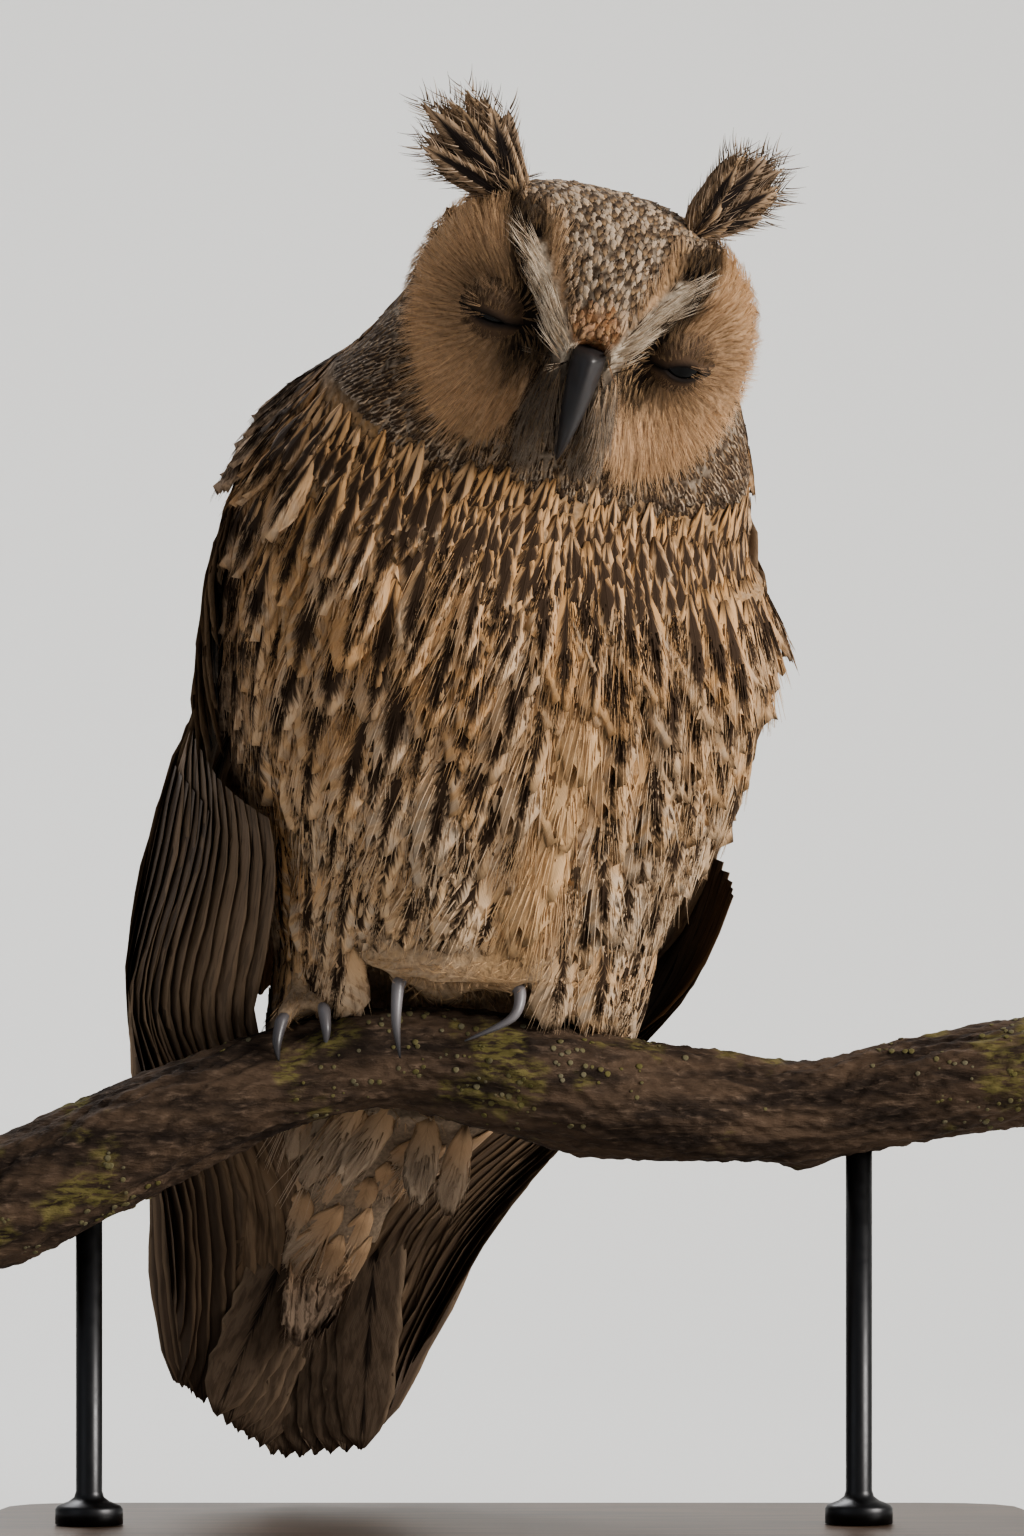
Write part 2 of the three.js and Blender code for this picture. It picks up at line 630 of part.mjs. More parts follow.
let skull = headSolid.subtract(upperBill(gap)).subtract(lowerBill(gap));
for (const flank of [1, -1]) {
  const centre = eyeCentre(flank);
  const slit = ball(onHead(flank * eye.side, eye.forward + 12, eye.height - 2.5), V(5.5, 8, eye.slit), 10);
  skull = skull
    .add(sphere(centre, eye.radius + gap + eye.lid, 14))
    .subtract(sphere(centre, eye.radius + gap, 14))
    .subtract(slit);
}
add("head", skull, facePlumage);
for (const flank of [1, -1]) {
  add(flank > 0 ? "eye_left" : "eye_right", sphere(eyeCentre(flank), eye.radius, 14), eyeAmber);
}

let nostrilled = upperBill().subtract(lowerBill(gap));
for (const flank of [1, -1]) {
  const nostril = onHead(flank * 3.6, bill.forward + 9, bill.top - 5);
  nostrilled = nostrilled.subtract(ball(nostril, V(1.1, 1.8, 1.1), 8));
}
add("bill_upper", nostrilled, hornBlack);
add("bill_lower", lowerBill(), hornBlack);

const billGrown = upperBill(gap).add(lowerBill(gap));
const collar = trunk(napeCut + gap / 9, neckCut - gap / 16, 4, trunkSides);
add("neck", collar.subtract(headGrown).subtract(billGrown), buffPlumage);

const toeRoom = perchTube(footRoom, 20);
const torso = trunk(neckCut, trunkRows.length - 1, 15, trunkSides).subtract(headGrown).subtract(toeRoom);
add("torso", torso, buffPlumage);
const torsoCut = torsoGrown.subtract(perchTube(footRoom - gap, 20));

for (const name of ["left", "right"]) {
  const flank = flankOf(name);
  const folded = name === "left" ? smoothWing(name) : featheredWing(name);
  add("wing_" + name, folded.subtract(torsoGrown).subtract(branchGrown), wingPlumage);
  add("ear_tuft_" + name, tuftSolid(name).subtract(headGrown), tuftPlumage);

  const limb = feet[name];
  const leg = legTube(limb).subtract(torsoCut);
  let foot = ball(limb.ankle.clone().add(V(0, 0, -3.5)), V(6.5, 6.5, 4.6), 10);
  for (const each of limb.toes) foot = foot.add(toeTube(limb, each));
  for (const each of limb.toes) foot = foot.subtract(clawTube(each, gap));
  add("leg_" + name, leg, legPlumage);
  foot = foot.subtract(legTube(limb, gap)).subtract(branchGrown).subtract(torsoCut);
  add("foot_" + name, foot, legPlumage);
  limb.toes.forEach((each, i) => {
    add(`claw_${name}_${i + 1}`, clawTube(each).subtract(branchGrown).subtract(torsoCut), hornGrey);
  });
}

add("tail", tailSolid().subtract(torsoGrown), wingPlumage);
add("perch", branch, bark);

function roundedPlate() {
  const { length, width, corner, bevel, thick } = base;
  const [a, b] = [length / 2 - bevel, width / 2 - bevel];
  const shape = new THREE.Shape();
  shape.moveTo(-a + corner, -b);
  shape.lineTo(a - corner, -b);
  shape.quadraticCurveTo(a, -b, a, -b + corner);
  shape.lineTo(a, b - corner);
  shape.quadraticCurveTo(a, b, a - corner, b);
  shape.lineTo(-a + corner, b);
  shape.quadraticCurveTo(-a, b, -a, b - corner);
  shape.lineTo(-a, -b + corner);
  shape.quadraticCurveTo(-a, -b, -a + corner, -b);
  const geometry = new THREE.ExtrudeGeometry(shape, {
    depth: thick - 2 * bevel,
    bevelThickness: bevel,
    bevelSize: bevel,
    bevelSegments: 2,
    curveSegments: 4,
  });
  geometry.translate(0, base.centreY, bevel);
  return solidOf(geometry);
}
add("stand_base", roundedPlate(), baseWood);

rod.x.forEach((x, i) => {
  const c = perchCentre(x);
  const foot = base.thick + gap;
  const profile = [
    [0, foot],
    [rod.collarRadius, foot],
    [rod.collarRadius, foot + rod.collarHeight - 2],
    [rod.radius + 2, foot + rod.collarHeight],
    [rod.radius, foot + rod.collarHeight + 2],
    [rod.radius, c.z],
    [0, c.z],
  ];
  const geometry = new THREE.LatheGeometry(profile.map(([r, z]) => new THREE.Vector2(r, z)), 16);
  geometry.rotateX(PI / 2);
  geometry.translate(x, c.y, 0);
  add(`stand_rod_${i + 1}`, solidOf(geometry).subtract(branchGrown), rodSteel);
});

export default owl;
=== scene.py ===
"""A long-eared owl dozing on a branch: skin, plumage, horn, bark, stand and studio."""
import json
import math

import bmesh
import bpy
import numpy as np
from mathutils import Matrix, Vector
from mathutils.bvhtree import BVHTree

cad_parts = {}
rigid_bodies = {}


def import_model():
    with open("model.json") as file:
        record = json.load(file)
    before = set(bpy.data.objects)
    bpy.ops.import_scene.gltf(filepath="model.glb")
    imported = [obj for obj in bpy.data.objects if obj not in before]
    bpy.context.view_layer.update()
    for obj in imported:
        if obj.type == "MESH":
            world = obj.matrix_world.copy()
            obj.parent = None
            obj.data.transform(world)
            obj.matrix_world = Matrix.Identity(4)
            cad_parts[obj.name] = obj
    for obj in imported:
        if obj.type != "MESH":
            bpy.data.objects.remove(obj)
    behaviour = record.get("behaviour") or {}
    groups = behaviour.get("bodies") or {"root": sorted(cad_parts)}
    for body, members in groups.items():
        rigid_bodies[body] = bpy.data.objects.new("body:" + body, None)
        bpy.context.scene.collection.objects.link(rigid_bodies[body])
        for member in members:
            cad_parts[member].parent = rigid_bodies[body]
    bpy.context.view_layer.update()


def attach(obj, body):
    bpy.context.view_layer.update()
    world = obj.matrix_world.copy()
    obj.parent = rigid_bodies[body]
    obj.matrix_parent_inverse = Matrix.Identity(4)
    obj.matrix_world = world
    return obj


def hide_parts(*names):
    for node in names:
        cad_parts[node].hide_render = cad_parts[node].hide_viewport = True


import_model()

bl_info = {
    "name": "Dozing owl",
    "version": (1, 0, 0),
    "blender": (4, 5, 0),
    "location": "View3D > Sidebar > Owl",
    "description": "Dresses the owl's solids with skin, feathers, horn and bark",
    "category": "Object",
}

MM = 0.001
PI = math.pi
BODY_YAW = math.radians(16)
BOXINESS = 2.25
BODY_FORWARD = np.array([math.sin(BODY_YAW), -math.cos(BODY_YAW), 0.0])

# Sections from crown to undertail and from shoulder to wing tip, in millimetres:
# centre x, y, z, half width, depth to the front, depth to the back.
TRUNK = np.array([
    (24, -40, 362, 15, 12, 13), (20, -35, 348, 34, 22, 28), (15, -29, 330, 47, 30, 38),
    (10, -22, 310, 58, 38, 45), (4, -16, 294, 67, 46, 49), (-2, -11, 278, 75, 52, 51),
    (-4, -5, 257, 76, 56, 51), (-6, 3, 230, 74, 57, 49), (-10, 11, 204, 66, 55, 45),
    (-14, 20, 178, 58, 50, 39), (-22, 31, 152, 47, 37, 31), (-33, 43, 127, 33, 22, 21),
    (-44, 53, 106, 20, 12, 12), (-49, 61, 84, 15, 7, 6),
], float)
WING = np.array([
    (-1, -10, 286, 70, 48, 52), (-4, -4, 257, 73, 54, 59), (-9, 5, 230, 73, 54, 61),
    (-16, 16, 204, 72, 48, 60), (-26, 29, 178, 74, 38, 54), (-36, 43, 150, 69, 28, 44),
    (-44, 55, 122, 59, 18, 34), (-51, 66, 94, 47, 12, 25), (-58, 77, 62, 39, 9, 18),
    (-64, 87, 30, 32, 7, 13),
], float)
BENDS = np.array([
    (-142, 95, 16.6), (-109, 110, 16), (-83, 122, 14.8), (-56, 131, 13.4), (-30, 136, 13.6),
    (0, 131.5, 16.2), (27, 125.5, 16.2), (53, 122.3, 15), (78, 122, 13.3), (104, 127, 13.9),
    (142, 132.5, 14.6),
], float)

HEAD = (
    Matrix.Translation((17, -40, 328))
    @ Matrix.Rotation(math.radians(15.5), 4, "Y")
    @ Matrix.Rotation(math.radians(8), 4, "Z")
    @ Matrix.Rotation(math.radians(22), 4, "X")
)
HEAD_TURN = np.array(HEAD.to_3x3())
HEAD_BACK = np.array(HEAD.inverted())
EYE = {"radius": 9.2, "side": 24.5, "height": 7.0, "forward": 18.5}

# Plumage colours, linear
CREAM = (0.56, 0.43, 0.31)
BUFF = (0.55, 0.36, 0.20)
OCHRE = (0.47, 0.26, 0.11)
ORANGE = (0.64, 0.42, 0.255)
GREY_BROWN = (0.27, 0.20, 0.15)
UMBER = (0.075, 0.048, 0.032)
SOOT = (0.020, 0.014, 0.011)
WHITE = (0.68, 0.57, 0.45)
PALE = (0.43, 0.345, 0.265)
SOOT_BROWN = (0.042, 0.025, 0.015)
LORE_GREY = (0.23, 0.185, 0.145)
RUST = (0.30, 0.14, 0.06)


# Small numeric helpers
def smooth(x, low, high):
    f = np.clip((np.asarray(x, float) - low) / (high - low), 0, 1)
    return f * f * (3 - 2 * f)


def unit(v):
    v = np.asarray(v, float)
    return v / np.maximum(np.linalg.norm(v, axis=-1, keepdims=True), 1e-9)


def mix(a, b, f):
    f = np.asarray(f, float)[..., None]
    return np.asarray(a, float) * (1 - f) + np.asarray(b, float) * f


def level(way, normal):
    """Directions laid flat on the planes that their normals stand on."""
    return unit(way - normal * np.einsum("nk,nk->n", way, normal)[:, None])


def opaque(colours):
    return np.c_[colours, np.ones(len(colours))]


def row_at(rows, place):
    """Smooth values of a table's columns at a fractional row."""
    t = np.clip(np.asarray(place, float), 0, len(rows) - 1)
    k = np.minimum(t.astype(int), len(rows) - 2)
    f = (t - k)[..., None]
    a, b, c, d = (rows[np.clip(k + i, 0, len(rows) - 1)] for i in (-1, 0, 1, 2))
    cubic = (2 * a - 5 * b + 4 * c - d) * f**2 + (3 * b - a - 3 * c + d) * f**3
    return 0.5 * (2 * b + (c - a) * f + cubic)


def section_at(rows, place):
    """Row values, and the side, front and up axes of a body section."""
    row = row_at(rows, place)
    place = np.asarray(place, float)
    up = unit(row_at(rows, place - 0.5)[..., :3] - row_at(rows, place + 0.5)[..., :3])
    side = unit(np.cross(up, BODY_FORWARD))
    return row, side, unit(np.cross(side, up)), up


def outline(rows, place, angle, grow=0.0):
    """Points on a section's rim. Angles run from the bird's left side over its breast."""
    row, side, front, _ = section_at(rows, place)
    c, s = np.cos(angle), np.sin(angle)
    square = [np.sign(x) * np.abs(x) ** (2 / BOXINESS) for x in (c, s)]
    depth = np.where(s > 0, row[..., 4], row[..., 5]) + grow
    width = (row[..., 3] + grow) * square[0]
    return row[..., :3] + side * width[..., None] + front * (depth * square[1])[..., None]


def head_local(points):
    """Side, forward and height of points in the head's own axes."""
    p = np.c_[points, np.ones(len(points))] @ HEAD_BACK.T
    return np.c_[p[:, 0], -p[:, 1], p[:, 2]]


def on_head(x, forward, z):
    return np.array(HEAD @ Vector((x, -forward, z)))


def head_vector(x, forward, z):
    return np.stack(np.broadcast_arrays(x, -np.asarray(forward, float), z), -1) @ HEAD_TURN.T


def to_segment(x, z, a, b):
    d = np.subtract(b, a)
    f = np.clip(((x - a[0]) * d[0] + (z - a[1]) * d[1]) / (d @ d), 0, 1)
    return np.hypot(x - a[0] - f * d[0], z - a[1] - f * d[1])


# Meshes
def new_object(name, mesh, collection=None):
    made = bpy.data.objects.new(name, mesh)
    (collection or bpy.context.scene.collection).objects.link(made)
    return made


def mesh_from(name, points, faces, layers=None, uvs=None, smooth_shaded=True):
    """A mesh in metres from points in millimetres, with point attributes and corner maps."""
    mesh = bpy.data.meshes.new(name)
    mesh.from_pydata((np.asarray(points) * MM).tolist(), [], [tuple(map(int, f)) for f in faces])
    for key, values in (layers or {}).items():
        values = np.asarray(values, np.float32)
        width = 1 if values.ndim == 1 else values.shape[1]
        kind, field = {
            1: ("FLOAT", "value"), 3: ("FLOAT_VECTOR", "vector"), 4: ("FLOAT_COLOR", "color"),
        }[width]
        layer = mesh.attributes.new(key, kind, "POINT")
        layer.data.foreach_set(field, values.ravel())
    for key, values in (uvs or {}).items():
        corner = np.zeros(len(mesh.loops), np.int32)
        mesh.loops.foreach_get("vertex_index", corner)
        layer = mesh.uv_layers.new(name=key)
        layer.data.foreach_set("uv", np.asarray(values, np.float32)[corner].ravel())
    if smooth_shaded:
        mesh.polygons.foreach_set("use_smooth", [True] * len(mesh.polygons))
    mesh.update()
    return mesh


def grid_faces(rows, columns, first=0, closed=False):
    faces = []
    for i in range(rows - 1):
        for j in range(columns if closed else columns - 1):
            a, b = first + i * columns + j, first + i * columns + (j + 1) % columns
            faces.append((a, b, b + columns, a + columns))
    return faces


def tube_mesh(name, rings, smooth_shaded=True):
    """A closed skin over rings of points, fanned over both ends."""
    rings = np.asarray(rings, float)
    count, sides = rings.shape[:2]
    points = np.vstack([rings.reshape(-1, 3), rings[0].mean(0), rings[-1].mean(0)])
    faces = grid_faces(count, sides, closed=True)
    head, foot = count * sides, count * sides + 1
    for j in range(sides):
        k = (j + 1) % sides
        faces.append((head, k, j))
        faces.append((foot, (count - 1) * sides + j, (count - 1) * sides + k))
    mesh = mesh_from(name, points, faces, smooth_shaded=smooth_shaded)
    face_outwards(mesh)
    return mesh


def face_outwards(mesh):
    work = bmesh.new()
    work.from_mesh(mesh)
    bmesh.ops.recalc_face_normals(work, faces=work.faces)
    work.to_mesh(mesh)
    work.free()


def finish_piece(made, nodes=()):
    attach(made, "root")
    if nodes:
        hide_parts(*nodes)


# Node trees
def shown_socket(sockets, name):
    """The socket of a name that a node shows for its kind of data."""
    return [s for s in sockets if s.name == name and s.enabled][0]


class Graph:
    """Shorthand for wiring a shader or geometry tree."""

    def __init__(self, tree):
        self.tree = tree

    def add(self, kind, values=None, **settings):
        node = self.tree.nodes.new(kind)
        for key, value in settings.items():
            setattr(node, key, value)
        for key, value in (values or {}).items():
            self.put(node.inputs[key], value)
        return node

    def put(self, socket, value):
        if isinstance(value, bpy.types.NodeSocket):
            self.tree.links.new(value, socket)
        elif hasattr(socket, "default_value"):
            if socket.type == "RGBA" and len(value) == 3:
                value = (*value, 1)
            socket.default_value = value

    def math(self, operation, a, b=0.0, c=0.0):
        return self.add("ShaderNodeMath", {0: a, 1: b, 2: c}, operation=operation).outputs[0]

    def times(self, a, b):
        return self.math("MULTIPLY", a, b)

    def line(self, x, slope, start):
        return self.math("MULTIPLY_ADD", x, slope, start)

    def step(self, value, low, high):
        node = self.add(
            "ShaderNodeMapRange",
            {"Value": value, "From Min": low, "From Max": high},
            interpolation_type="SMOOTHSTEP",
        )
        return node.outputs["Result"]

    def blend(self, factor, a, b, kind="MIX"):
        node = self.add("ShaderNodeMix", data_type="RGBA", blend_type=kind)
        for index, value in ((0, factor), (6, a), (7, b)):
            self.put(node.inputs[index], value)
        return node.outputs[2]

    def noise(self, vector, scale, detail=2.0, roughness=0.5):
        values = {"Vector": vector, "Scale": scale, "Detail": detail, "Roughness": roughness}
        return self.add("ShaderNodeTexNoise", values).outputs["Fac"]

    def parts(self, vector):
        return self.add("ShaderNodeSeparateXYZ", {0: vector}).outputs

    def vector(self, x, y, z=0.0):
        return self.add("ShaderNodeCombineXYZ", {0: x, 1: y, 2: z}).outputs[0]

    def attribute(self, name, output="Vector"):
        return self.add("ShaderNodeAttribute", attribute_name=name).outputs[output]

    def group(self, name, **values):
        node = self.add("ShaderNodeGroup", node_tree=bpy.data.node_groups[name])
        for key, value in values.items():
            self.put(node.inputs[key.replace("_", " ")], value)
        return node.outputs

    def objects(self):
        return self.add("ShaderNodeTexCoord").outputs["Object"]

    def bump(self, height, strength, distance):
        values = {"Height": height, "Strength": strength, "Distance": distance}
        return self.add("ShaderNodeBump", values).outputs["Normal"]

    def random(self, kind, low, high, seed=0):
        """A random value for each point."""
        node = self.add("FunctionNodeRandomValue", data_type=kind)
        for key, value in (("Min", low), ("Max", high), ("Seed", seed)):
            self.put(shown_socket(node.inputs, key), value)
        return shown_socket(node.outputs, "Value")

    def surface(self, **values):
        shader = self.add("ShaderNodeBsdfPrincipled")
        for key, value in values.items():
            self.put(shader.inputs[key.replace("_", " ")], value)
        out = self.add("ShaderNodeOutputMaterial")
        self.tree.links.new(shader.outputs[0], out.inputs[0])

    def give_out(self, geometry, material):
        """Ends a geometry tree with its material set."""
        done = self.add("GeometryNodeSetMaterial", {"Geometry": geometry, "Material": material})
        self.put(self.add("NodeGroupOutput").inputs[0], done.outputs[0])


def new_group(name, inputs, outputs):
    """An empty shader node group with named sockets, and shorthand for its inside."""
    tree = bpy.data.node_groups.new(name, "ShaderNodeTree")
    for way, sockets in (("INPUT", inputs), ("OUTPUT", outputs)):
        for key, value in sockets.items():
            kind = {float: "NodeSocketFloat", str: "NodeSocketVector", tuple: "NodeSocketColor"}
            made = tree.interface.new_socket(key, in_out=way, socket_type=kind[type(value)])
            if way == "INPUT" and not isinstance(value, str):
                made.default_value = value
    graph = Graph(tree)
    return graph, graph.add("NodeGroupInput").outputs, graph.add("NodeGroupOutput").inputs


def new_piece_tree(name, sockets):
    """An empty geometry tree with named inputs, and shorthand for its inside."""
    tree = bpy.data.node_groups.new(name, "GeometryNodeTree")
    for key, kind in {"Geometry": "Geometry", **sockets}.items():
        tree.interface.new_socket(key, in_out="INPUT", socket_type="NodeSocket" + kind)
    tree.interface.new_socket("Geometry", in_out="OUTPUT", socket_type="NodeSocketGeometry")
    graph = Graph(tree)
    return graph, graph.add("NodeGroupInput").outputs


def new_material(name):
    material = bpy.data.materials.new(name)
    material.use_nodes = True
    material.node_tree.nodes.clear()
    return material, Graph(material.node_tree)


def build_barb_group():
    """Fine barbs that slant from the shaft: a tone, a height, and the distance from the shaft."""
    g, given, made = new_group(
        "Barbs", {"Vane": "", "Fineness": 60.0}, {"Tone": 1.0, "Height": 1.0, "Side": 1.0}
    )
    across, along, _ = g.parts(given["Vane"])
    side = g.math("ABSOLUTE", g.line(across, 2.0, -1.0))
    slant = g.line(side, -0.32, along)
    lines = g.vector(g.times(slant, given["Fineness"]), g.times(side, 1.5))
    fibre = g.noise(lines, 1.0, 3.0, 0.7)
    shaft = g.step(side, 0.07, 0.0)
    g.put(made["Tone"], fibre)
    g.put(made["Height"], g.math("ADD", fibre, shaft))
    g.put(made["Side"], side)


def build_marks_group():
    """Dark shaft streak, broken cross bars, speckle and pale patches of a feather, as masks."""
    g, given, made = new_group(
        "Feather marks",
        {"Vane": "", "Side": 0.0, "Streak": 0.2, "Bars": 0.3, "Speckle": 0.0, "Shift": 0.0},
        {"Dark": 1.0, "Bar": 1.0, "Pale": 1.0, "Along": 1.0},
    )
    side, streak, shift = given["Side"], given["Streak"], given["Shift"]
    along = g.parts(given["Vane"])[1]
    wobble = g.noise(g.vector(g.times(along, 4.0), g.times(shift, 40.0)), 1.3, 1.0)
    swell = g.times(g.step(along, -0.1, 0.35), g.step(along, 1.0, 0.55))
    width = g.times(g.times(streak, swell), g.line(wobble, 0.9, 0.55))
    slant = g.line(side, -0.5, along)
    comb = g.vector(g.times(slant, 24.0), g.times(side, 1.4), g.times(shift, 17.0))
    rag = g.math("SUBTRACT", g.noise(comb, 1.0, 3.0, 0.65), 0.5)
    edge = g.line(rag, 0.75, side)
    soft = g.line(streak, 0.45, 0.05)
    ramp = g.math("DIVIDE", g.math("SUBTRACT", width, edge), soft)
    core = g.times(g.step(ramp, -1.0, 0.8), g.step(streak, 0.02, 0.08))
    arc = g.line(rag, 0.05, g.line(side, -0.20, along))
    wave = g.math("SINE", g.line(arc, 36.0, g.times(shift, 6.28)))
    broken = g.noise(g.vector(g.times(side, 5.0), g.times(along, 9.0), shift), 1.0, 2.0)
    line = g.times(g.step(wave, 0.45, 1.0), g.step(broken, 0.40, 0.58))
    bar = g.times(g.times(line, g.step(along, 0.35, 0.5)), given["Bars"])
    fleck = g.vector(g.times(side, 7.0), g.times(along, 16.0), g.times(shift, 9.0))
    dots = g.times(g.step(g.noise(fleck, 1.0, 2.0), 0.46, 0.60), given["Speckle"])
    open_web = g.times(g.step(edge, 0.10, 0.40), g.step(edge, 1.0, 0.62))
    gaps = g.times(g.step(wave, 0.7, -0.5), g.step(along, 0.35, 0.6))
    g.put(made["Dark"], g.math("MINIMUM", g.math("MAXIMUM", core, dots), 1.0))
    g.put(made["Bar"], bar)
    g.put(made["Pale"], g.times(open_web, gaps))
    g.put(made["Along"], along)


def plumage_material(name, dark, base, fineness, roughness, fringe=0.0, fringe_colour=BUFF):
    """Feathers coloured from their own attributes: ground, marks and habit."""
    material, g = new_material(name)
    vane = g.add("ShaderNodeUVMap", uv_map="Vane").outputs[0]
    barbs = g.group("Barbs", Vane=vane, Fineness=fineness)
    streak, bars, speckle = g.parts(g.attribute("marks"))[:3]
    tone, pale, shift = g.parts(g.attribute("habit"))[:3]
    marks = g.group(
        "Feather marks", Vane=vane, Side=barbs["Side"], Streak=streak, Bars=bars, Speckle=speckle, Shift=shift
    )
    ground = g.attribute("ground", "Color")
    rooted = g.blend(g.times(g.step(marks["Along"], 0.7, 0.2), 0.45), ground, base)
    lit = g.blend(g.times(marks["Pale"], pale), rooted, PALE)
    rim = g.times(g.step(barbs["Side"], 0.80, 0.96), fringe)
    edged = g.blend(rim, lit, fringe_colour)
    shade = g.line(barbs["Tone"], 0.55, g.line(tone, 0.5, 0.42))
    toned = g.blend(1.0, edged, g.vector(shade, shade, shade), "MULTIPLY")
    barred = g.blend(g.times(marks["Bar"], 0.6), toned, mix(dark, base, 0.25))
    inked = g.times(marks["Dark"], g.line(rim, -0.8, 1.0))
    colour = g.blend(inked, barred, dark)
    g.surface(
        Base_Color=colour, Roughness=roughness, Specular_IOR_Level=0.18,
        Normal=g.bump(barbs["Height"], 0.4, 0.0003),
    )
    return material


def skin_material():
    """Down under the feathers, in the plumage's own ground colours."""
    material, g = new_material("Down")
    place = g.objects()
    fluff = g.noise(place, 900.0, 3.0)
    ground = g.attribute("ground", "Color")
    shade = g.line(fluff, 0.7, 0.25)
    colour = g.blend(1.0, ground, g.vector(shade, shade, shade), "MULTIPLY")
    g.surface(
        Base_Color=colour, Roughness=0.95, Specular_IOR_Level=0.1,
        Normal=g.bump(fluff, 0.6, 0.0006),
    )
    return material


def horn_material(name, base, tip, low, high, roughness):
    """Horn that changes from one colour to another with height."""
    material, g = new_material(name)
    place = g.objects()
    height = g.parts(place)[2]
    streaks = g.noise(place, 420.0, 3.0)
    colour = g.blend(g.step(height, high * MM, low * MM), base, tip)
    g.surface(
        Base_Color=g.blend(g.times(streaks, 0.25), colour, UMBER),
        Roughness=g.line(streaks, 0.25, roughness),
        Normal=g.bump(streaks, 0.15, 0.0002),
    )
    return material


# Feather templates: unit length along Y, unit width along X, face up
CAMBER = 0.16
VANE_THICKNESS = 0.018
SPIKE_STEPS = (0, 1 / 3, 2 / 3, 1)
SPIKE_TURNS = [2 * PI * j / 3 for j in range(3)]
SPIKE_POINTS = len(SPIKE_STEPS) * len(SPIKE_TURNS)


def vane_template(name, collection, seed, columns, rows, fray, curl):
    """A closed thin vane with a ragged tip. Its top and bottom share the rim."""
    draw = np.random.default_rng(seed)
    x = np.linspace(-1, 1, columns + 1)
    uneven = 0.4 + np.arange(columns + 1) % 2
    reach = 1 - 0.15 * np.abs(x) ** 2.6 - fray * draw.random(columns + 1) * uneven
    points, flat = [], []
    for i in range(rows + 1):
        f = (i / rows) ** 0.85
        width = 0.5 * (0.16 + 0.84 * math.sin(PI * min(0.5, 0.7 * f)) ** 0.8) * (1 - 0.2 * f**6)
        ragged = 1 + 0.07 * draw.standard_normal(columns + 1) * (np.abs(x) > 0.9) * (0 < i)
        y = f * reach
        z = -CAMBER * (x * width * 2) ** 2 * 0.5 - curl * y**2 + 0.03 * draw.standard_normal(columns + 1) * f
        points += list(np.c_[x * width * ragged, y, z])
        flat += list(np.c_[(x + 1) / 2, y])
    faces = grid_faces(rows + 1, columns + 1)
    inner = {}
    for i in range(1, rows):
        for j in range(1, columns):
            k = i * (columns + 1) + j
            inner[k] = len(points)
            points.append(points[k] - np.array([0, 0, VANE_THICKNESS]))
            flat.append(flat[k])
    faces += [tuple(inner.get(k, k) for k in reversed(f)) for f in faces]
    new_object(name, mesh_from(name, np.array(points) / MM, faces, uvs={"Vane": flat}), collection)


def spike_ring(x, y, z, radius, flatness):
    return [(x + radius * math.cos(a), y, z + flatness * radius * math.sin(a)) for a in SPIKE_TURNS]


def spike_faces(first):
    """Faces of a closed three-sided spike with four rings of points."""
    faces = []
    for i in range(3):
        for j in range(3):
            a, b = first + 3 * i + j, first + 3 * i + (j + 1) % 3
            faces.append((a, a + 3, b + 3, b))
    return faces + [(first, first + 1, first + 2), (first + 11, first + 10, first + 9)]


def spike_object(name, collection, points, flat):
    faces = [face for first in range(0, len(points), SPIKE_POINTS) for face in spike_faces(first)]
    mesh = mesh_from(name, np.array(points) / MM, faces, uvs={"Vane": flat})
    face_outwards(mesh)
    new_object(name, mesh, collection)


def plume_template(name, collection, seed, strands, fan, curl, girth):
    """A fan of loose barbs: closed three-sided spikes from one root."""
    draw = np.random.default_rng(seed)
    points, flat = [], []
    for k in range(strands):
        lean = fan * ((k + 0.5) / strands * 2 - 1) + 0.08 * draw.standard_normal()
        start = 0.25 * draw.random()
        length = 1 - start - 0.35 * abs(lean) * draw.random()
        sway = 0.12 * draw.standard_normal()
        for f in SPIKE_STEPS:
            x = lean * (0.2 * start + f * (0.6 + sway * f))
            y = start + length * f
            z = -curl * y * y + 0.06 * f * draw.random()
            points += spike_ring(x, y, z, girth * (1 - f) ** 0.6 + 0.002, 0.6)
            flat += [(0.5 + lean * 0.45 * f, y)] * 3
    spike_object(name, collection, points, flat)


def fringe_template(name, collection, seed, strands, curl):
    """Loose barbs over a vane's tip and edges, in the vane's own width and length."""
    draw = np.random.default_rng(seed)
    points, flat = [], []
    for k in range(strands):
        share = (k + 0.5) / strands * 2 - 1 + 0.05 * draw.standard_normal()
        end = 1.05 - 0.24 * abs(share) ** 2.2 + 0.04 * draw.standard_normal()
        start = end - 0.4 - 0.2 * draw.random()
        for f in SPIKE_STEPS:
            x = 0.56 * share * (0.5 + 0.5 * f**0.7)
            y = start + (end - start) * f
            z = -CAMBER * 2 * x * x - curl * y * y + 0.010 + 0.012 * draw.random()
            points += spike_ring(x, y, z, 0.015 * (1 - f) ** 0.6 + 0.003, 0.3)
            flat += [(0.5 + 0.9 * x, y)] * 3
    spike_object(name, collection, points, flat)


# For each kind of coat: the maker, its settings, and the one that differs between three templates
TEMPLATES = {
    "contour": (vane_template, {"columns": 8, "rows": 6, "fray": 0.13}, "curl", (0.07, 0.10, 0.13)),
    "fringe": (fringe_template, {"strands": 14}, "curl", (0.07, 0.10, 0.13)),
    "plume": (plume_template, {"strands": 10, "curl": 0.10, "girth": 0.008}, "fan", (0.26, 0.34, 0.42)),
    "short": (vane_template, {"columns": 4, "rows": 4, "fray": 0.2}, "curl", (0.1, 0.2, 0.25)),
    "hair": (plume_template, {"strands": 4, "curl": 0.12, "girth": 0.015}, "fan", (0.2, 0.3, 0.4)),
}


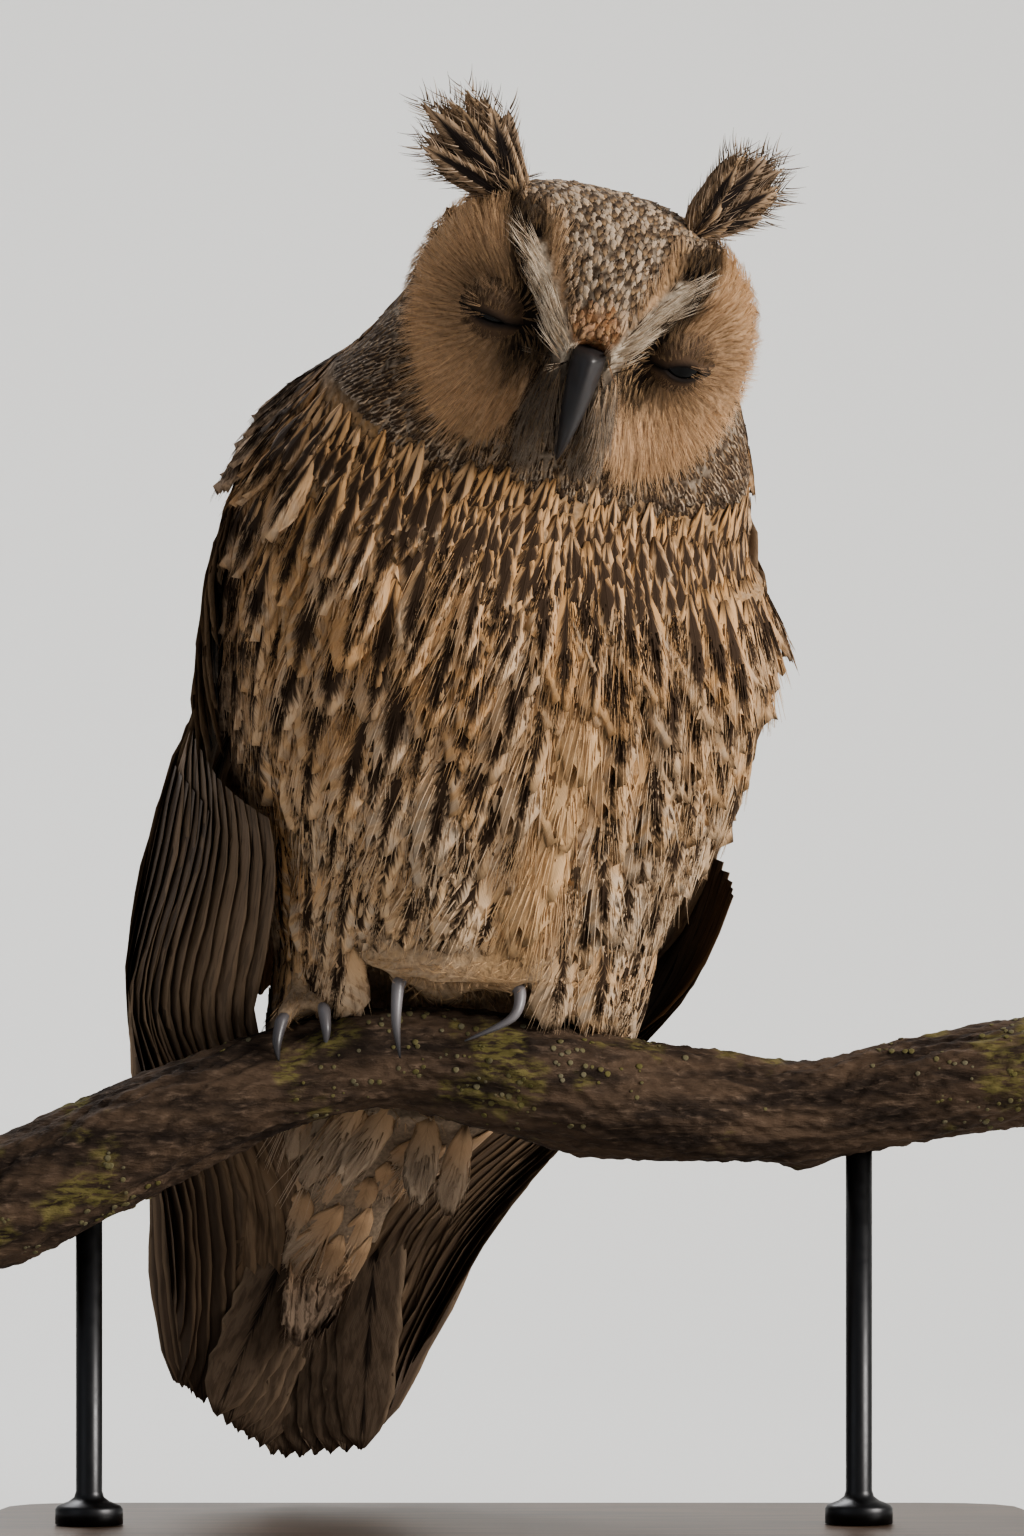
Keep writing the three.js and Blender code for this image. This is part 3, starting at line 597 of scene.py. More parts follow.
def make_templates():
    for kind, (maker, settings, varied, values) in TEMPLATES.items():
        collection = bpy.data.collections.new(kind)
        for i, value in enumerate(values):
            maker(f"{kind}_{i}", collection, 11 * i + len(kind), **settings, **{varied: value})


def build_plumage_tree():
    """Sets feathers on points by their own lie, up and size, and keeps each root's place."""
    sockets = {"Feathers": "Collection", "Material": "Material", "Patch": "Float", "Seed": "Int"}
    g, given = new_piece_tree("Plumage over skin", sockets)

    def named(key):
        node = g.add("GeometryNodeInputNamedAttribute", {"Name": key}, data_type="FLOAT_VECTOR")
        return node.outputs["Attribute"]

    along = g.add("FunctionNodeAlignRotationToVector", {"Vector": named("lie")}, axis="Y")
    facing = g.add(
        "FunctionNodeAlignRotationToVector",
        {"Rotation": along.outputs[0], "Vector": named("up")}, axis="Z", pivot_axis="Y",
    )
    chosen = g.random("INT", 0, 2, given["Seed"])
    kinds = g.add(
        "GeometryNodeCollectionInfo",
        {"Collection": given["Feathers"], "Separate Children": True, "Reset Children": True},
    )
    placed = g.add(
        "GeometryNodeInstanceOnPoints",
        {"Points": given["Geometry"], "Instance": kinds.outputs[0], "Pick Instance": True,
         "Instance Index": chosen, "Rotation": facing.outputs[0], "Scale": named("size")},
    )
    real = g.add("GeometryNodeRealizeInstances", {"Geometry": placed.outputs[0]})
    centred = g.add("ShaderNodeVectorMath", {0: named("Vane"), 1: (0.5, 0.5, 0.0)}, operation="SUBTRACT")
    patch = g.add("ShaderNodeVectorMath", {0: centred.outputs[0], "Scale": given["Patch"]}, operation="SCALE")
    spread = g.add("ShaderNodeVectorMath", {0: named("root"), 1: patch.outputs[0]}, operation="ADD")
    stored = g.add(
        "GeometryNodeStoreNamedAttribute",
        {"Geometry": real.outputs[0], "Name": "OFBake", "Value": spread.outputs[0]},
        data_type="FLOAT2", domain="CORNER",
    )
    g.give_out(stored.outputs[0], given["Material"])


# Side of the square that one feather takes on the unwrap
BAKE_PATCH = 0.003


def made_by_nodes(host, tree, values):
    """The plain mesh that a node tree makes of an object, which is then removed."""
    modifier = host.modifiers.new(tree.name, "NODES")
    modifier.node_group = tree
    for item in tree.interface.items_tree:
        if item.in_out == "INPUT" and item.name in values:
            modifier[item.identifier] = values[item.name]
    shown = bpy.context.evaluated_depsgraph_get()
    made = bpy.data.meshes.new_from_object(
        host.evaluated_get(shown), preserve_all_data_layers=True, depsgraph=shown
    )
    host.modifiers.clear()
    bpy.data.objects.remove(host)
    return made


def grow(name, roots, kind, material, seed, slot):
    """A piece made of feathers of one kind on the given roots."""
    layers = {key: value for key, value in roots.items() if key != "at"}
    seedbed = new_object(name + " roots", mesh_from(name, roots["at"], [], layers=layers))
    values = {"Feathers": bpy.data.collections[kind], "Material": material, "Patch": BAKE_PATCH, "Seed": seed}
    made = made_by_nodes(seedbed, bpy.data.node_groups["Plumage over skin"], values)
    made.name = name
    made.polygons.foreach_set("use_smooth", [True] * len(made.polygons))
    for key in ("lie", "up", "size", "root"):
        if key in made.attributes:
            made.attributes.remove(made.attributes[key])
    finish_piece(new_object(name, made), ())


def plant(parts, roots, material, slot):
    """Grows the parts of a coat: a name, the roots it takes, a kind of feather and a seed for each."""
    for name, taken, kind, seed in parts:
        chosen = {key: value[taken] for key, value in roots.items()}
        grow(name, chosen, kind, material, seed, slot)


# The skin
SKIN = {}


def flesh(names, voxel):
    """The named solids as one smooth mesh, grown a little so that they join."""
    grown = 0.35
    work = bmesh.new()
    for name in names:
        work.from_mesh(bpy.data.objects[name].data)
    bmesh.ops.remove_doubles(work, verts=work.verts, dist=1e-6)
    bmesh.ops.recalc_face_normals(work, faces=work.faces)
    work.normal_update()
    for vert in work.verts:
        vert.co += vert.normal * grown * MM
    mesh = bpy.data.meshes.new("flesh")
    work.to_mesh(mesh)
    work.free()
    made = new_object("flesh", mesh)
    remesh = made.modifiers.new("Remesh", "REMESH")
    remesh.mode = "VOXEL"
    remesh.voxel_size = voxel * MM
    shown = bpy.context.evaluated_depsgraph_get()
    result = bpy.data.meshes.new_from_object(made.evaluated_get(shown), depsgraph=shown)
    bpy.data.objects.remove(made)
    return result


def largest_shell(mesh):
    """Vertices and faces of a mesh's largest connected piece, in millimetres."""
    points = np.zeros(len(mesh.vertices) * 3)
    mesh.vertices.foreach_get("co", points)
    edges = np.zeros(len(mesh.edges) * 2, int)
    mesh.edges.foreach_get("vertices", edges)
    edges = edges.reshape(-1, 2)
    label = np.arange(len(mesh.vertices))
    while True:
        low = np.minimum(label[edges[:, 0]], label[edges[:, 1]])
        before = label.copy()
        np.minimum.at(label, edges[:, 0], low)
        np.minimum.at(label, edges[:, 1], low)
        label = label[label]
        if (label == before).all():
            break
    keep = label == np.bincount(label).argmax()
    order = np.cumsum(keep) - 1
    faces = [tuple(order[list(p.vertices)]) for p in mesh.polygons if keep[p.vertices[0]]]
    return points.reshape(-1, 3)[keep] / MM, faces


def relax(points, faces, rounds):
    quads = np.array([f for f in faces if len(f) == 4])
    a = np.r_[quads[:, 0], quads[:, 1], quads[:, 2], quads[:, 3]]
    b = np.r_[quads[:, 1], quads[:, 2], quads[:, 3], quads[:, 0]]
    for _ in range(rounds):
        total, count = np.zeros_like(points), np.zeros(len(points))
        for one, two in ((a, b), (b, a)):
            np.add.at(total, one, points[two])
            np.add.at(count, one, 1)
        points = 0.4 * points + 0.6 * total / np.maximum(count, 1)[:, None]
    return points


def normals_of(points, faces):
    quads = np.array([f for f in faces if len(f) == 4])
    cross = np.cross(points[quads[:, 2]] - points[quads[:, 0]], points[quads[:, 3]] - points[quads[:, 1]])
    out = np.zeros_like(points)
    for k in range(4):
        np.add.at(out, quads[:, k], cross)
    return unit(out)


def trunk_place(points):
    """Row place and angle round the trunk for points on the body."""
    steps = np.arange(0, len(TRUNK) - 0.99, 0.04)
    row, side, front, up = section_at(TRUNK, steps)
    miss = np.abs(np.einsum("nmk,mk->nm", points[:, None, :] - row[None, :, :3], up))
    far = np.linalg.norm(points[:, None, :] - row[None, :, :3], axis=2)
    best = np.argmin(miss + 0.04 * far, axis=1)
    away = points - row[best, :3]
    angle = np.arctan2(np.einsum("nk,nk->n", away, front[best]), np.einsum("nk,nk->n", away, side[best]))
    return steps[best], np.mod(angle, 2 * PI)


def coat_depth(points, settings):
    """How deep the skin lies under the coat's face."""
    local = head_local(points)
    face = smooth(local[:, 1], -20, 5) * smooth(local[:, 2], -38, -28)
    high = np.minimum(points[:, 2], 400)
    belly = smooth(high, 150, 175)
    depth = settings.body_depth * belly + settings.foot_depth * (1 - belly)
    depth = np.where(points[:, 1] > 30, np.maximum(depth, 2.5), depth)
    return depth * (1 - face) + settings.face_depth * face


UNWRAP_WIDTH = 0.92


def unwrap_place(points):
    """Where points lie on the skin's unwrap, round the trunk and down it."""
    t, angle = trunk_place(points)
    return np.c_[0.04 + UNWRAP_WIDTH * angle / (2 * PI), 0.98 - 0.95 * t / len(TRUNK), np.zeros(len(t))]


# Where feathers grow and what they carry.
# Belly feathers stand in columns over these rows of the trunk, so that their streaks join up.
BELLY_ROWS = (6.2, 10.4)
BELLY_COLUMNS = 31
FLANK_EDGE = 74
LEAST_ROOM = 6


def face_zone(local):
    """Weights of the zones of the face, from places in the head's own axes."""
    side, forward, height = np.abs(local[:, 0]), local[:, 1], local[:, 2]
    ring = np.hypot((side - 22) / 25, (height - 3) / 33)
    front = smooth(forward, -14, -2)
    wedge = smooth(3.5 + (height - 4) * 0.42 - side, -1.5, 1.5) * smooth(height, 3, 7)
    top = smooth(height, 31, 35)
    brow = smooth(to_segment(side, height, (6, 5), (20, 25)), 3.6, 2.2)
    lore = smooth(to_segment(side, height, (5.5, 5), (8, -19)), 5.2, 3.2)
    chin = smooth(height, -20, -24) * smooth(side, 17, 13)
    rim = smooth(ring, 0.9, 0.97)
    zones = {
        "brow": brow, "lore": lore * (1 - brow), "forehead": np.maximum(wedge, top) * (1 - brow),
        "chin": chin, "rim": rim,
    }
    taken = np.clip(sum(zones[k] for k in ("brow", "lore", "forehead", "chin")), 0, 1)
    zones["rim"] = rim * (1 - taken)
    zones["disc"] = (1 - rim) * (1 - taken)
    return {k: v * front for k, v in zones.items()}, ring


def body_ground(points, draw):
    """Ground colour, marks and habit of the body's feathers by their place."""
    t, angle = trunk_place(points)
    count = len(points)
    front = smooth(np.sin(angle), -0.25, 0.35)
    lateral = (angle - PI / 2) + 0.12
    upper = smooth(t, 7.3, 5.6)
    cleft = smooth(np.abs(lateral - 0.05 * (t - 7)), 0.20, 0.07) * smooth(t, 5.4, 6.1) * smooth(t, 9.8, 8.8)
    random = draw.random(count)
    ground = mix(mix(CREAM, BUFF, 0.2 + random * 0.6), OCHRE, upper * (0.25 + 0.5 * random))
    flank = smooth(np.abs(lateral), 1.0, 1.4) * smooth(t, 6.0, 7.0) * smooth(t, 9.5, 8.5)
    ground = mix(ground, OCHRE, 0.7 * flank * (draw.random(count) > 0.4))
    ground = mix(ground, BUFF, cleft)
    back = 1 - front
    ground = mix(ground, GREY_BROWN, back * 0.85)
    streak = 0.16 + 0.08 * draw.random(count) + upper * (0.04 + 0.24 * draw.random(count))
    streak = streak * (1 - cleft) + 0.25 * back
    bars = (0.45 + 0.55 * draw.random(count)) * (1 - 0.85 * upper) * (1 - cleft) * (1 - 0.5 * back)
    speckle = 0.55 * back + 0.05 * draw.random(count) * (1 - cleft)
    pale = (0.25 + 0.65 * draw.random(count)) * (1 - 0.8 * cleft) * (1 - 0.6 * back) * (1 - 0.45 * upper)
    marks = np.c_[streak, bars, speckle]
    habit = np.c_[0.35 + 0.45 * draw.random(count), pale, draw.random(count)]
    vent = smooth(t, 9.6, 10.4)
    marks[:, 0] = marks[:, 0] * (1 - vent) + 0.035 * vent
    marks[:, 1] *= 1 - 0.9 * vent
    habit[:, 1] *= 1 - 0.8 * vent
    ground = mix(ground, mix(CREAM, GREY_BROWN, 0.35), vent * front)
    return opaque(ground), marks, habit


def head_ground(local, draw):
    """The same for the head, with the weights of its zones."""
    zones, ring = face_zone(local)
    count = len(local)
    side, height = np.abs(local[:, 0]), local[:, 2]
    random = draw.random(count)
    ground = mix(BUFF, GREY_BROWN, 0.25 + 0.5 * random)
    marks = np.c_[0.45 + 0.3 * random, 0.2 * random, 0.35 + 0.3 * random]
    habit = np.c_[0.35 + 0.5 * draw.random(count), 0.3 * random, draw.random(count)]
    eye_line = np.hypot(side - EYE["side"] + 6, (height - EYE["height"]) * 0.75)
    inner = smooth(eye_line, 13, 7) * smooth(side, 25, 17)
    brow_shade = smooth(to_segment(side, height, (13, 6), (25, 33)), 7.0, 3.5)
    rust = smooth(np.hypot(side * 0.9, height - 12), 8, 4)
    table = {
        "disc": (ORANGE, (0, 0, 0.05), 0.0), "rim": (GREY_BROWN, (0.4, 0, 0.5), 0.3),
        "forehead": (GREY_BROWN, (0.0, 0.0, 0.3), 0.2), "brow": (WHITE, (0, 0, 0.1), 0.5),
        "lore": (LORE_GREY, (0, 0, 0.2), 0.2), "chin": (UMBER, (0.3, 0, 0.5), 0.5),
    }
    for key, (colour, mark, pale) in table.items():
        w = zones[key]
        ground = mix(ground, colour, w)
        marks = mix(marks, mark, w)
        habit[:, 1] = habit[:, 1] * (1 - w) + pale * w * random
    edge = zones["disc"] * smooth(ring, 0.72, 0.95)
    ground = mix(ground, BUFF, 0.6 * edge)
    centre = zones["disc"] * smooth(np.hypot(side - EYE["side"], height - EYE["height"]), 20, 9)
    ground = mix(ground, UMBER, 0.45 * centre)
    pepper = draw.random(count)
    fleck = mix(SOOT_BROWN, PALE, smooth(pepper, 0.40, 0.75))
    flecked = np.maximum(zones["forehead"] * 0.85, 0.8 * np.maximum(zones["rim"], zones["chin"]))
    ground = mix(ground, fleck, flecked)
    ground = mix(ground, RUST, zones["forehead"] * rust * 0.7)
    sooty = (zones["brow"] * 0.5 + zones["lore"] * 0.45) * (draw.random(count) > 0.72)
    ground = mix(ground, SOOT_BROWN, sooty)
    dark = np.maximum(inner, brow_shade) * np.maximum(zones["disc"], 0.6 * zones["lore"])
    dark = np.maximum(dark, 0.9 * brow_shade * zones["rim"])
    ground = mix(ground, SOOT, np.clip(dark, 0, 1))
    return opaque(ground), marks, habit, zones


def lattice(settings):
    """Staggered places down the trunk: row place, angle and spacing."""
    places = []
    t, turn = 2.55, 0
    while t < 12.8:
        row = row_at(TRUNK, t)
        fine = smooth(t, 6.4, 4.2) + 0.5 * smooth(t, 4.2, 3.0)
        across = settings.spacing * (1 - 0.38 * fine)
        round_length = PI * (row[3] + 0.5 * (row[4] + row[5]))
        count = max(6, int(round_length / across))
        stagger = 0.5 * (turn % 2)
        if BELLY_ROWS[0] < t < BELLY_ROWS[1]:
            count, stagger = BELLY_COLUMNS, 0
        for j in range(count):
            places.append((t, 2 * PI * (j + stagger) / count, fine))
        step = np.linalg.norm(row_at(TRUNK, t + 0.5)[:3] - row_at(TRUNK, t - 0.5)[:3])
        t += settings.spacing * (0.86 - 0.38 * fine) / step
        turn += 1
    return np.array(places)


def cast(origins, directions):
    """Where rays meet the skin, with the skin's normals there and which ones hit."""
    tree, faces, slopes = SKIN["tree"], SKIN["faces"], SKIN["slopes"]
    at, up, ok = [], [], []
    for o, d in zip(origins, directions):
        place, _, face, _ = tree.ray_cast(Vector(o), Vector(d), 200)
        ok.append(place is not None)
        at.append(place or o)
        up.append(d if place is None else slopes[list(faces[face])].mean(0))
    return np.array(at), unit(np.array(up)), np.array(ok)


def flow(t, angle, up, draw, swirl):
    """The lie of the coat: down the trunk along its face, with a parting down the breast."""
    _, side, _, _ = section_at(TRUNK, t)
    lateral = angle - PI / 2 + 0.12
    part = np.sign(lateral) * smooth(np.abs(lateral), 0, 0.25) * smooth(np.abs(lateral), 1.5, 0.5)
    drift = -0.16 * part * np.sin(angle) + swirl * draw.standard_normal(len(t))
    down = unit(row_at(TRUNK, t + 2)[:, :3] - row_at(TRUNK, t - 2)[:, :3])
    return level(down + side * drift[:, None], up)


def under_wing(points, t, angle):
    """True well inside the folded wings' cover."""
    behind = -np.sin(angle)
    covered = (behind < 0.93) & (points[:, 2] > 95)
    deep = (t > 5.6) & (behind > 0.30)
    loose = (np.cos(angle) > 0) & (behind > -0.02) & (t > 4.4)
    return covered & (deep | loose)


def body_roots(settings, draw, jitter=0.35, keep=1.0, repeat=1, swirl=0.05):
    """Where the trunk's feathers stand: place, normal, row place, angle, fineness, lie and room to lie."""
    places = np.repeat(lattice(settings), repeat, axis=0)
    t = places[:, 0] + 0.12 * jitter * draw.standard_normal(len(places)) * repeat
    angle = places[:, 1] + 0.06 * jitter * draw.standard_normal(len(places)) * (1 + repeat)
    row, side, front, _ = section_at(TRUNK, t)
    out = side * np.cos(angle)[:, None] + front * np.sin(angle)[:, None]
    at, up, ok = cast(row[:, :3], out)
    angle = np.mod(angle, 2 * PI)
    local = head_local(at)
    on_face = (local[:, 1] > -9) & (local[:, 2] > -31)
    ok &= ~on_face & ~under_wing(at, t, angle) & (draw.random(len(t)) < keep)
    at, up, t, angle, fine = at[ok], up[ok], t[ok], angle[ok], places[ok, 2]
    lie = flow(t, angle, up, draw, swirl)
    room = room_to_lie(at, lie, angle, t)
    return [v[room > LEAST_ROOM] for v in (at, up, t, angle, fine, lie, room)]


def room_to_lie(at, lie, angle, t):
    """How long feathers can be without hiding toes, hanging over the branch or leaving the flank."""
    toes = smooth(at[:, 0], -42, -36) * smooth(at[:, 0], 14, 8)
    floor = perch_top(at[:, 0]) - 2 + 17 * toes
    room = (at[:, 2] - floor) / np.maximum(-lie[:, 2], 0.3)
    room = np.where((np.sin(angle) > 0.1) & (t < 10.6), room, 99)
    return np.where(at[:, 0] + 30 * lie[:, 0] > FLANK_EDGE, 0, room)


def roots_table(at, lie, up, rise, width, length, coat):
    """What the plumage tree reads at each root. rise tilts the lie off the skin."""
    ground, marks, habit = coat
    tilted = unit(lie + up * np.reshape(rise, (-1, 1)))
    return {
        "at": at, "lie": tilted, "up": level(up, tilted), "size": np.c_[width, length, length] * MM,
        "ground": ground, "marks": marks, "habit": habit, "root": unwrap_place(at),
    }


def skin_samples(count, draw):
    """Random places on the skin with their normals."""
    points, faces = SKIN["points"], np.array([f for f in SKIN["faces"] if len(f) == 4])
    corner = points[faces]
    area = np.linalg.norm(np.cross(corner[:, 2] - corner[:, 0], corner[:, 3] - corner[:, 1]), axis=1)
    chosen = draw.choice(len(faces), count, p=area / area.sum())
    u, v = draw.random(count)[:, None], draw.random(count)[:, None]
    c = corner[chosen]
    at = (c[:, 0] * (1 - u) + c[:, 1] * u) * (1 - v) + (c[:, 3] * (1 - u) + c[:, 2] * u) * v
    return at, unit(SKIN["normals"][faces[chosen]].mean(1))


def thin_out(at, spacing):
    """Keeps places at least their own spacing apart."""
    cells, kept = {}, []
    for i, (p, r) in enumerate(zip(at, np.broadcast_to(spacing, len(at)))):
        key = tuple((p // 4).astype(int))
        near = (
            j for dx in (-1, 0, 1) for dy in (-1, 0, 1) for dz in (-1, 0, 1)
            for j in cells.get((key[0] + dx, key[1] + dy, key[2] + dz), ())
        )
        if all(np.sum((at[j] - p) ** 2) > r * r for j in near):
            cells.setdefault(key, []).append(i)
            kept.append(i)
    return np.array(kept)


# Vanes laid along a path, for wings, tail and ear tufts
class Vanes:
    """Gathers flight feathers and coverts into one mesh."""

    def __init__(self, seed):
        self.points, self.faces, self.uv, self.bake = [], [], [], []
        self.ground, self.marks, self.habit = [], [], []
        self.draw = np.random.default_rng(seed)

    def add(self, place, half, root, ground, marks, habit, columns, rows, tilt, camber, fray, blunt, notch):
        """place(f) gives points and normals along the shaft for an array of shares."""
        draw = self.draw
        f = np.linspace(0, 1, rows + 1) ** 0.9
        x = np.linspace(-1, 1, columns + 1)
        point, normal = place(f)
        along = unit(np.gradient(point, f, axis=0))
        across = unit(np.cross(along, normal))
        profile = (0.35 + 0.65 * smooth(f, 0, 0.3)) * np.sqrt(np.clip(1 - f**blunt, 0, 1) * 0.96 + 0.04)
        length = np.linalg.norm(np.diff(point, axis=0), axis=1).sum()
        ragged = 1 + 0.05 * draw.standard_normal((rows + 1, columns + 1)) * (np.abs(x) > 0.95)
        width = half * profile[:, None] * x[None, :] * ragged
        lift = tilt * width - camber * half * (x[None, :] ** 2) * profile[:, None]
        lift = lift + 0.15 * draw.standard_normal((rows + 1, 1)) * np.abs(x)
        slip = -fray * length * draw.random(columns + 1)[None, :] * (f**8)[:, None]
        slip = slip - notch * half * (np.abs(x) ** 1.5)[None, :] * (f**3)[:, None]
        grid = point[:, None] + across[:, None] * width[..., None] + normal[:, None] * lift[..., None]
        grid = grid + along[:, None] * slip[..., None]
        first = len(self.points)
        thin = 0.22 * (1 - x**2)[None, :] * np.sin(PI * np.clip(f, 0.02, 0.98))[:, None] + 0.02
        both = np.vstack([grid.reshape(-1, 3), (grid - normal[:, None] * thin[..., None]).reshape(-1, 3)])
        count = (rows + 1) * (columns + 1)
        top = grid_faces(rows + 1, columns + 1, first)
        under = [tuple(k + count for k in reversed(face)) for face in top]
        rim = list(range(columns)) + [i * (columns + 1) + columns for i in range(rows)]
        rim += [rows * (columns + 1) + j for j in range(columns, 0, -1)]
        rim += [i * (columns + 1) for i in range(rows, 0, -1)]
        walls = []
        for a, b in zip(rim, rim[1:] + rim[:1]):
            walls.append((first + b, first + a, first + a + count, first + b + count))
        self.points.extend(both)
        self.faces.extend(top + under + walls)
        flat = np.stack(np.broadcast_arrays((x[None, :] + 1) / 2, f[:, None]), -1).reshape(-1, 2)
        self.uv.extend(np.vstack([flat, flat]))
        self.bake.extend(np.asarray(root)[None] + BAKE_PATCH * (np.vstack([flat, flat]) - 0.5))
        self.colour(2 * count, ground, marks, habit)

    def colour(self, count, ground, marks, habit):
        for store, value in ((self.ground, (*ground, 1)), (self.marks, marks), (self.habit, habit)):
            store.extend([value] * count)

    def barb(self, base, heading, bend, length, radius, root, colour, habit):
        """A thin closed spike that curves away from its base."""
        first = len(self.points)
        side = unit(np.cross(heading, (0.3, 0.2, 0.9)))
        over = np.cross(side, heading)
        for f in SPIKE_STEPS:
            centre = base + heading * length * f + bend * f * f
            r = radius * (1 - f) + 0.025
            for a in SPIKE_TURNS:
                self.points.append(centre + (side * math.cos(a) + over * math.sin(a)) * r)
                self.uv.append((0.98, 0.5))
                self.bake.append(np.asarray(root) + 0.5 * BAKE_PATCH * np.array([math.cos(a), 2 * f - 1]))
        self.faces.extend(spike_faces(first))
        self.colour(SPIKE_POINTS, colour, (0, 0, 0), habit)

    def build(self, name, material):
        layers = {"ground": self.ground, "marks": self.marks, "habit": self.habit}
        uvs = {"Vane": self.uv, "OFBake": self.bake}
        mesh = mesh_from(name, np.array(self.points), self.faces, layers=layers, uvs=uvs)
        face_outwards(mesh)
        mesh.materials.append(material)
        return new_object(name, mesh)


def wing_sheet(flank, u, v):
    """Points on the folded wing's face. flank is 1 on the bird's left."""
    u, v = np.broadcast_arrays(np.asarray(u, float), np.asarray(v, float))
    place = 0.15 + (len(WING) - 1.15) * u
    edge = math.radians(6 if flank > 0 else -4) - math.radians(20) * smooth(u, 0.4, 0.8)
    turn = (edge + (math.radians(74) - edge) * v) * (0.9 + 0.1 * smooth(u, 0, 0.3))
    angle = -turn if flank > 0 else PI + turn
    out = outline(WING, place, angle)
    hugging = outline(TRUNK, 4.8 + 7.2 * np.minimum(1.25 * u, 1), angle, 2.5)
    hug = 0.7 * (1 - smooth(v, 0, 0.45)) * (1 - smooth(u, 0.38, 0.6)) * smooth(u, 0, 0.12)
    hugging[..., 2] = out[..., 2]
    return out * (1 - hug[..., None]) + hugging * hug[..., None]


def wing_normal(flank, u, v):
    e = 0.01
    along = wing_sheet(flank, np.minimum(1, u + e), v) - wing_sheet(flank, u - e, v)
    across = wing_sheet(flank, u, v + e) - wing_sheet(flank, u, v - e)
    return unit(np.cross(along, across)) * -flank


# count, root u, root v range, tip u, tip v range, drop per feather, half width, rise, kind
TIERS = [
    (12, 0.40, (0.02, 0.62), 1.0, (-0.32, 0.60), 0.018, 7.5, 3.4, "primary"),
    (9, 0.28, (0.40, 0.97), 0.70, (0.45, 0.97), 0.010, 8.5, 3.8, "secondary"),
    (11, 0.34, (-0.34, 0.30), 0.92, (-0.66, -0.12), 0.008, 8.0, 2.6, "secondary"),
    (9, 0.20, (0.12, 0.95), 0.50, (0.10, 0.95), 0.0, 8.0, 4.0, "covert"),
    (10, 0.13, (0.10, 0.95), 0.38, (0.08, 0.96), 0.0, 7.5, 4.2, "covert"),
    (11, 0.08, (0.12, 0.95), 0.29, (0.10, 0.96), 0.0, 6.5, 3.4, "scapular"),
    (11, 0.04, (0.14, 0.95), 0.21, (0.12, 0.96), 0.0, 6.5, 3.0, "scapular"),
    (10, 0.00, (0.17, 0.92), 0.14, (0.15, 0.95), 0.0, 6.5, 2.6, "scapular"),
]
# Ground, marks and pale patches of each kind
TIER_LOOK = {
    "primary": ((0.085, 0.058, 0.040), (0.10, 0.55, 0.15), 0.0),
    "secondary": ((0.13, 0.09, 0.062), (0.12, 0.6, 0.35), 0.15),
    "covert": ((0.19, 0.135, 0.09), (0.30, 0.35, 0.40), 0.6),
    "scapular": ((0.30, 0.215, 0.145), (0.30, 0.4, 0.30), 0.7),
}
LONG_VANE = {"rows": 22, "camber": 0.05, "fray": 0.01, "blunt": 9.0, "notch": 0.25}
SHORT_VANE = {"rows": 12, "camber": 0.22, "fray": 0.05, "blunt": 4.5, "notch": 0.2}


# Settings
class PlumageSettings(bpy.types.PropertyGroup):
    """Depth and spacing of the coat."""

    body_depth: bpy.props.FloatProperty(
        name="Body depth", description="Coat depth over the trunk, millimetres",
        default=5.0, min=1, max=12
    )
    face_depth: bpy.props.FloatProperty(
        name="Face depth", description="Coat depth over the face, millimetres",
        default=1.6, min=0.5, max=5
    )
    foot_depth: bpy.props.FloatProperty(
        name="Foot depth", description="Coat depth over legs and toes, millimetres",
        default=0.9, min=0.3, max=3
    )
    spacing: bpy.props.FloatProperty(
        name="Spacing", description="Distance between belly feathers, millimetres",
        default=12.0, min=6, max=20
    )
    voxel: bpy.props.FloatProperty(
        name="Skin grid", description="Grid of the skin mesh, millimetres", default=1.7, min=1, max=4
    )


class HornSettings(bpy.types.PropertyGroup):
    """Colours of bill, claws and eyes."""

    bill: bpy.props.FloatVectorProperty(
        name="Bill", description="Colour of the bill",
        subtype="COLOR", default=(0.010, 0.011, 0.014), min=0, max=1
    )
    claw: bpy.props.FloatVectorProperty(
        name="Claws", description="Colour of the claws",
        subtype="COLOR", default=(0.016, 0.017, 0.022), min=0, max=1
    )
    iris: bpy.props.FloatVectorProperty(
        name="Iris", description="Colour of the iris",
        subtype="COLOR", default=(0.60, 0.20, 0.02), min=0, max=1
    )


class PerchSettings(bpy.types.PropertyGroup):
    """The branch and its stand."""

    bark: bpy.props.FloatVectorProperty(
        name="Bark", description="Main colour of the bark",
        subtype="COLOR", default=(0.085, 0.055, 0.036), min=0, max=1
    )
    relief: bpy.props.FloatProperty(
        name="Relief", description="Depth of the bark's relief, millimetres", default=0.9, min=0, max=3
    )
    flakes: bpy.props.IntProperty(
        name="Flakes", description="Number of lichen flakes", default=420, min=0, max=2000
    )


class StageSettings(bpy.types.PropertyGroup):
    """Camera and light."""

    distance: bpy.props.FloatProperty(
        name="Distance", description="Camera distance from the perch",
        default=3.0, min=1, max=10, unit="LENGTH"
    )
    field: bpy.props.FloatProperty(
        name="Field", description="Height of the picture at the perch",
        default=0.407, min=0.1, max=2, unit="LENGTH"
    )
    key: bpy.props.FloatProperty(
        name="Key light", description="Strength of the key light, watts", default=78.0, min=0, max=500
    )


# Operators
def map_skin(mesh, place):
    """Lays the skin's faces on its unwrap. Those over the seam go past its far edge."""
    corner = np.zeros(len(mesh.loops), int)
    mesh.loops.foreach_get("vertex_index", corner)
    start = np.zeros(len(mesh.polygons), int)
    mesh.polygons.foreach_get("loop_start", start)
    flat = place[corner]
    owner = np.repeat(np.arange(len(start)), np.diff(np.r_[start, len(corner)]))
    high = np.zeros(len(start))
    np.maximum.at(high, owner, flat[:, 0])
    flat[:, 0] += UNWRAP_WIDTH * ((high[owner] - flat[:, 0]) > 0.5)
    mesh.uv_layers.new(name="OFBake").data.foreach_set("uv", flat.ravel())


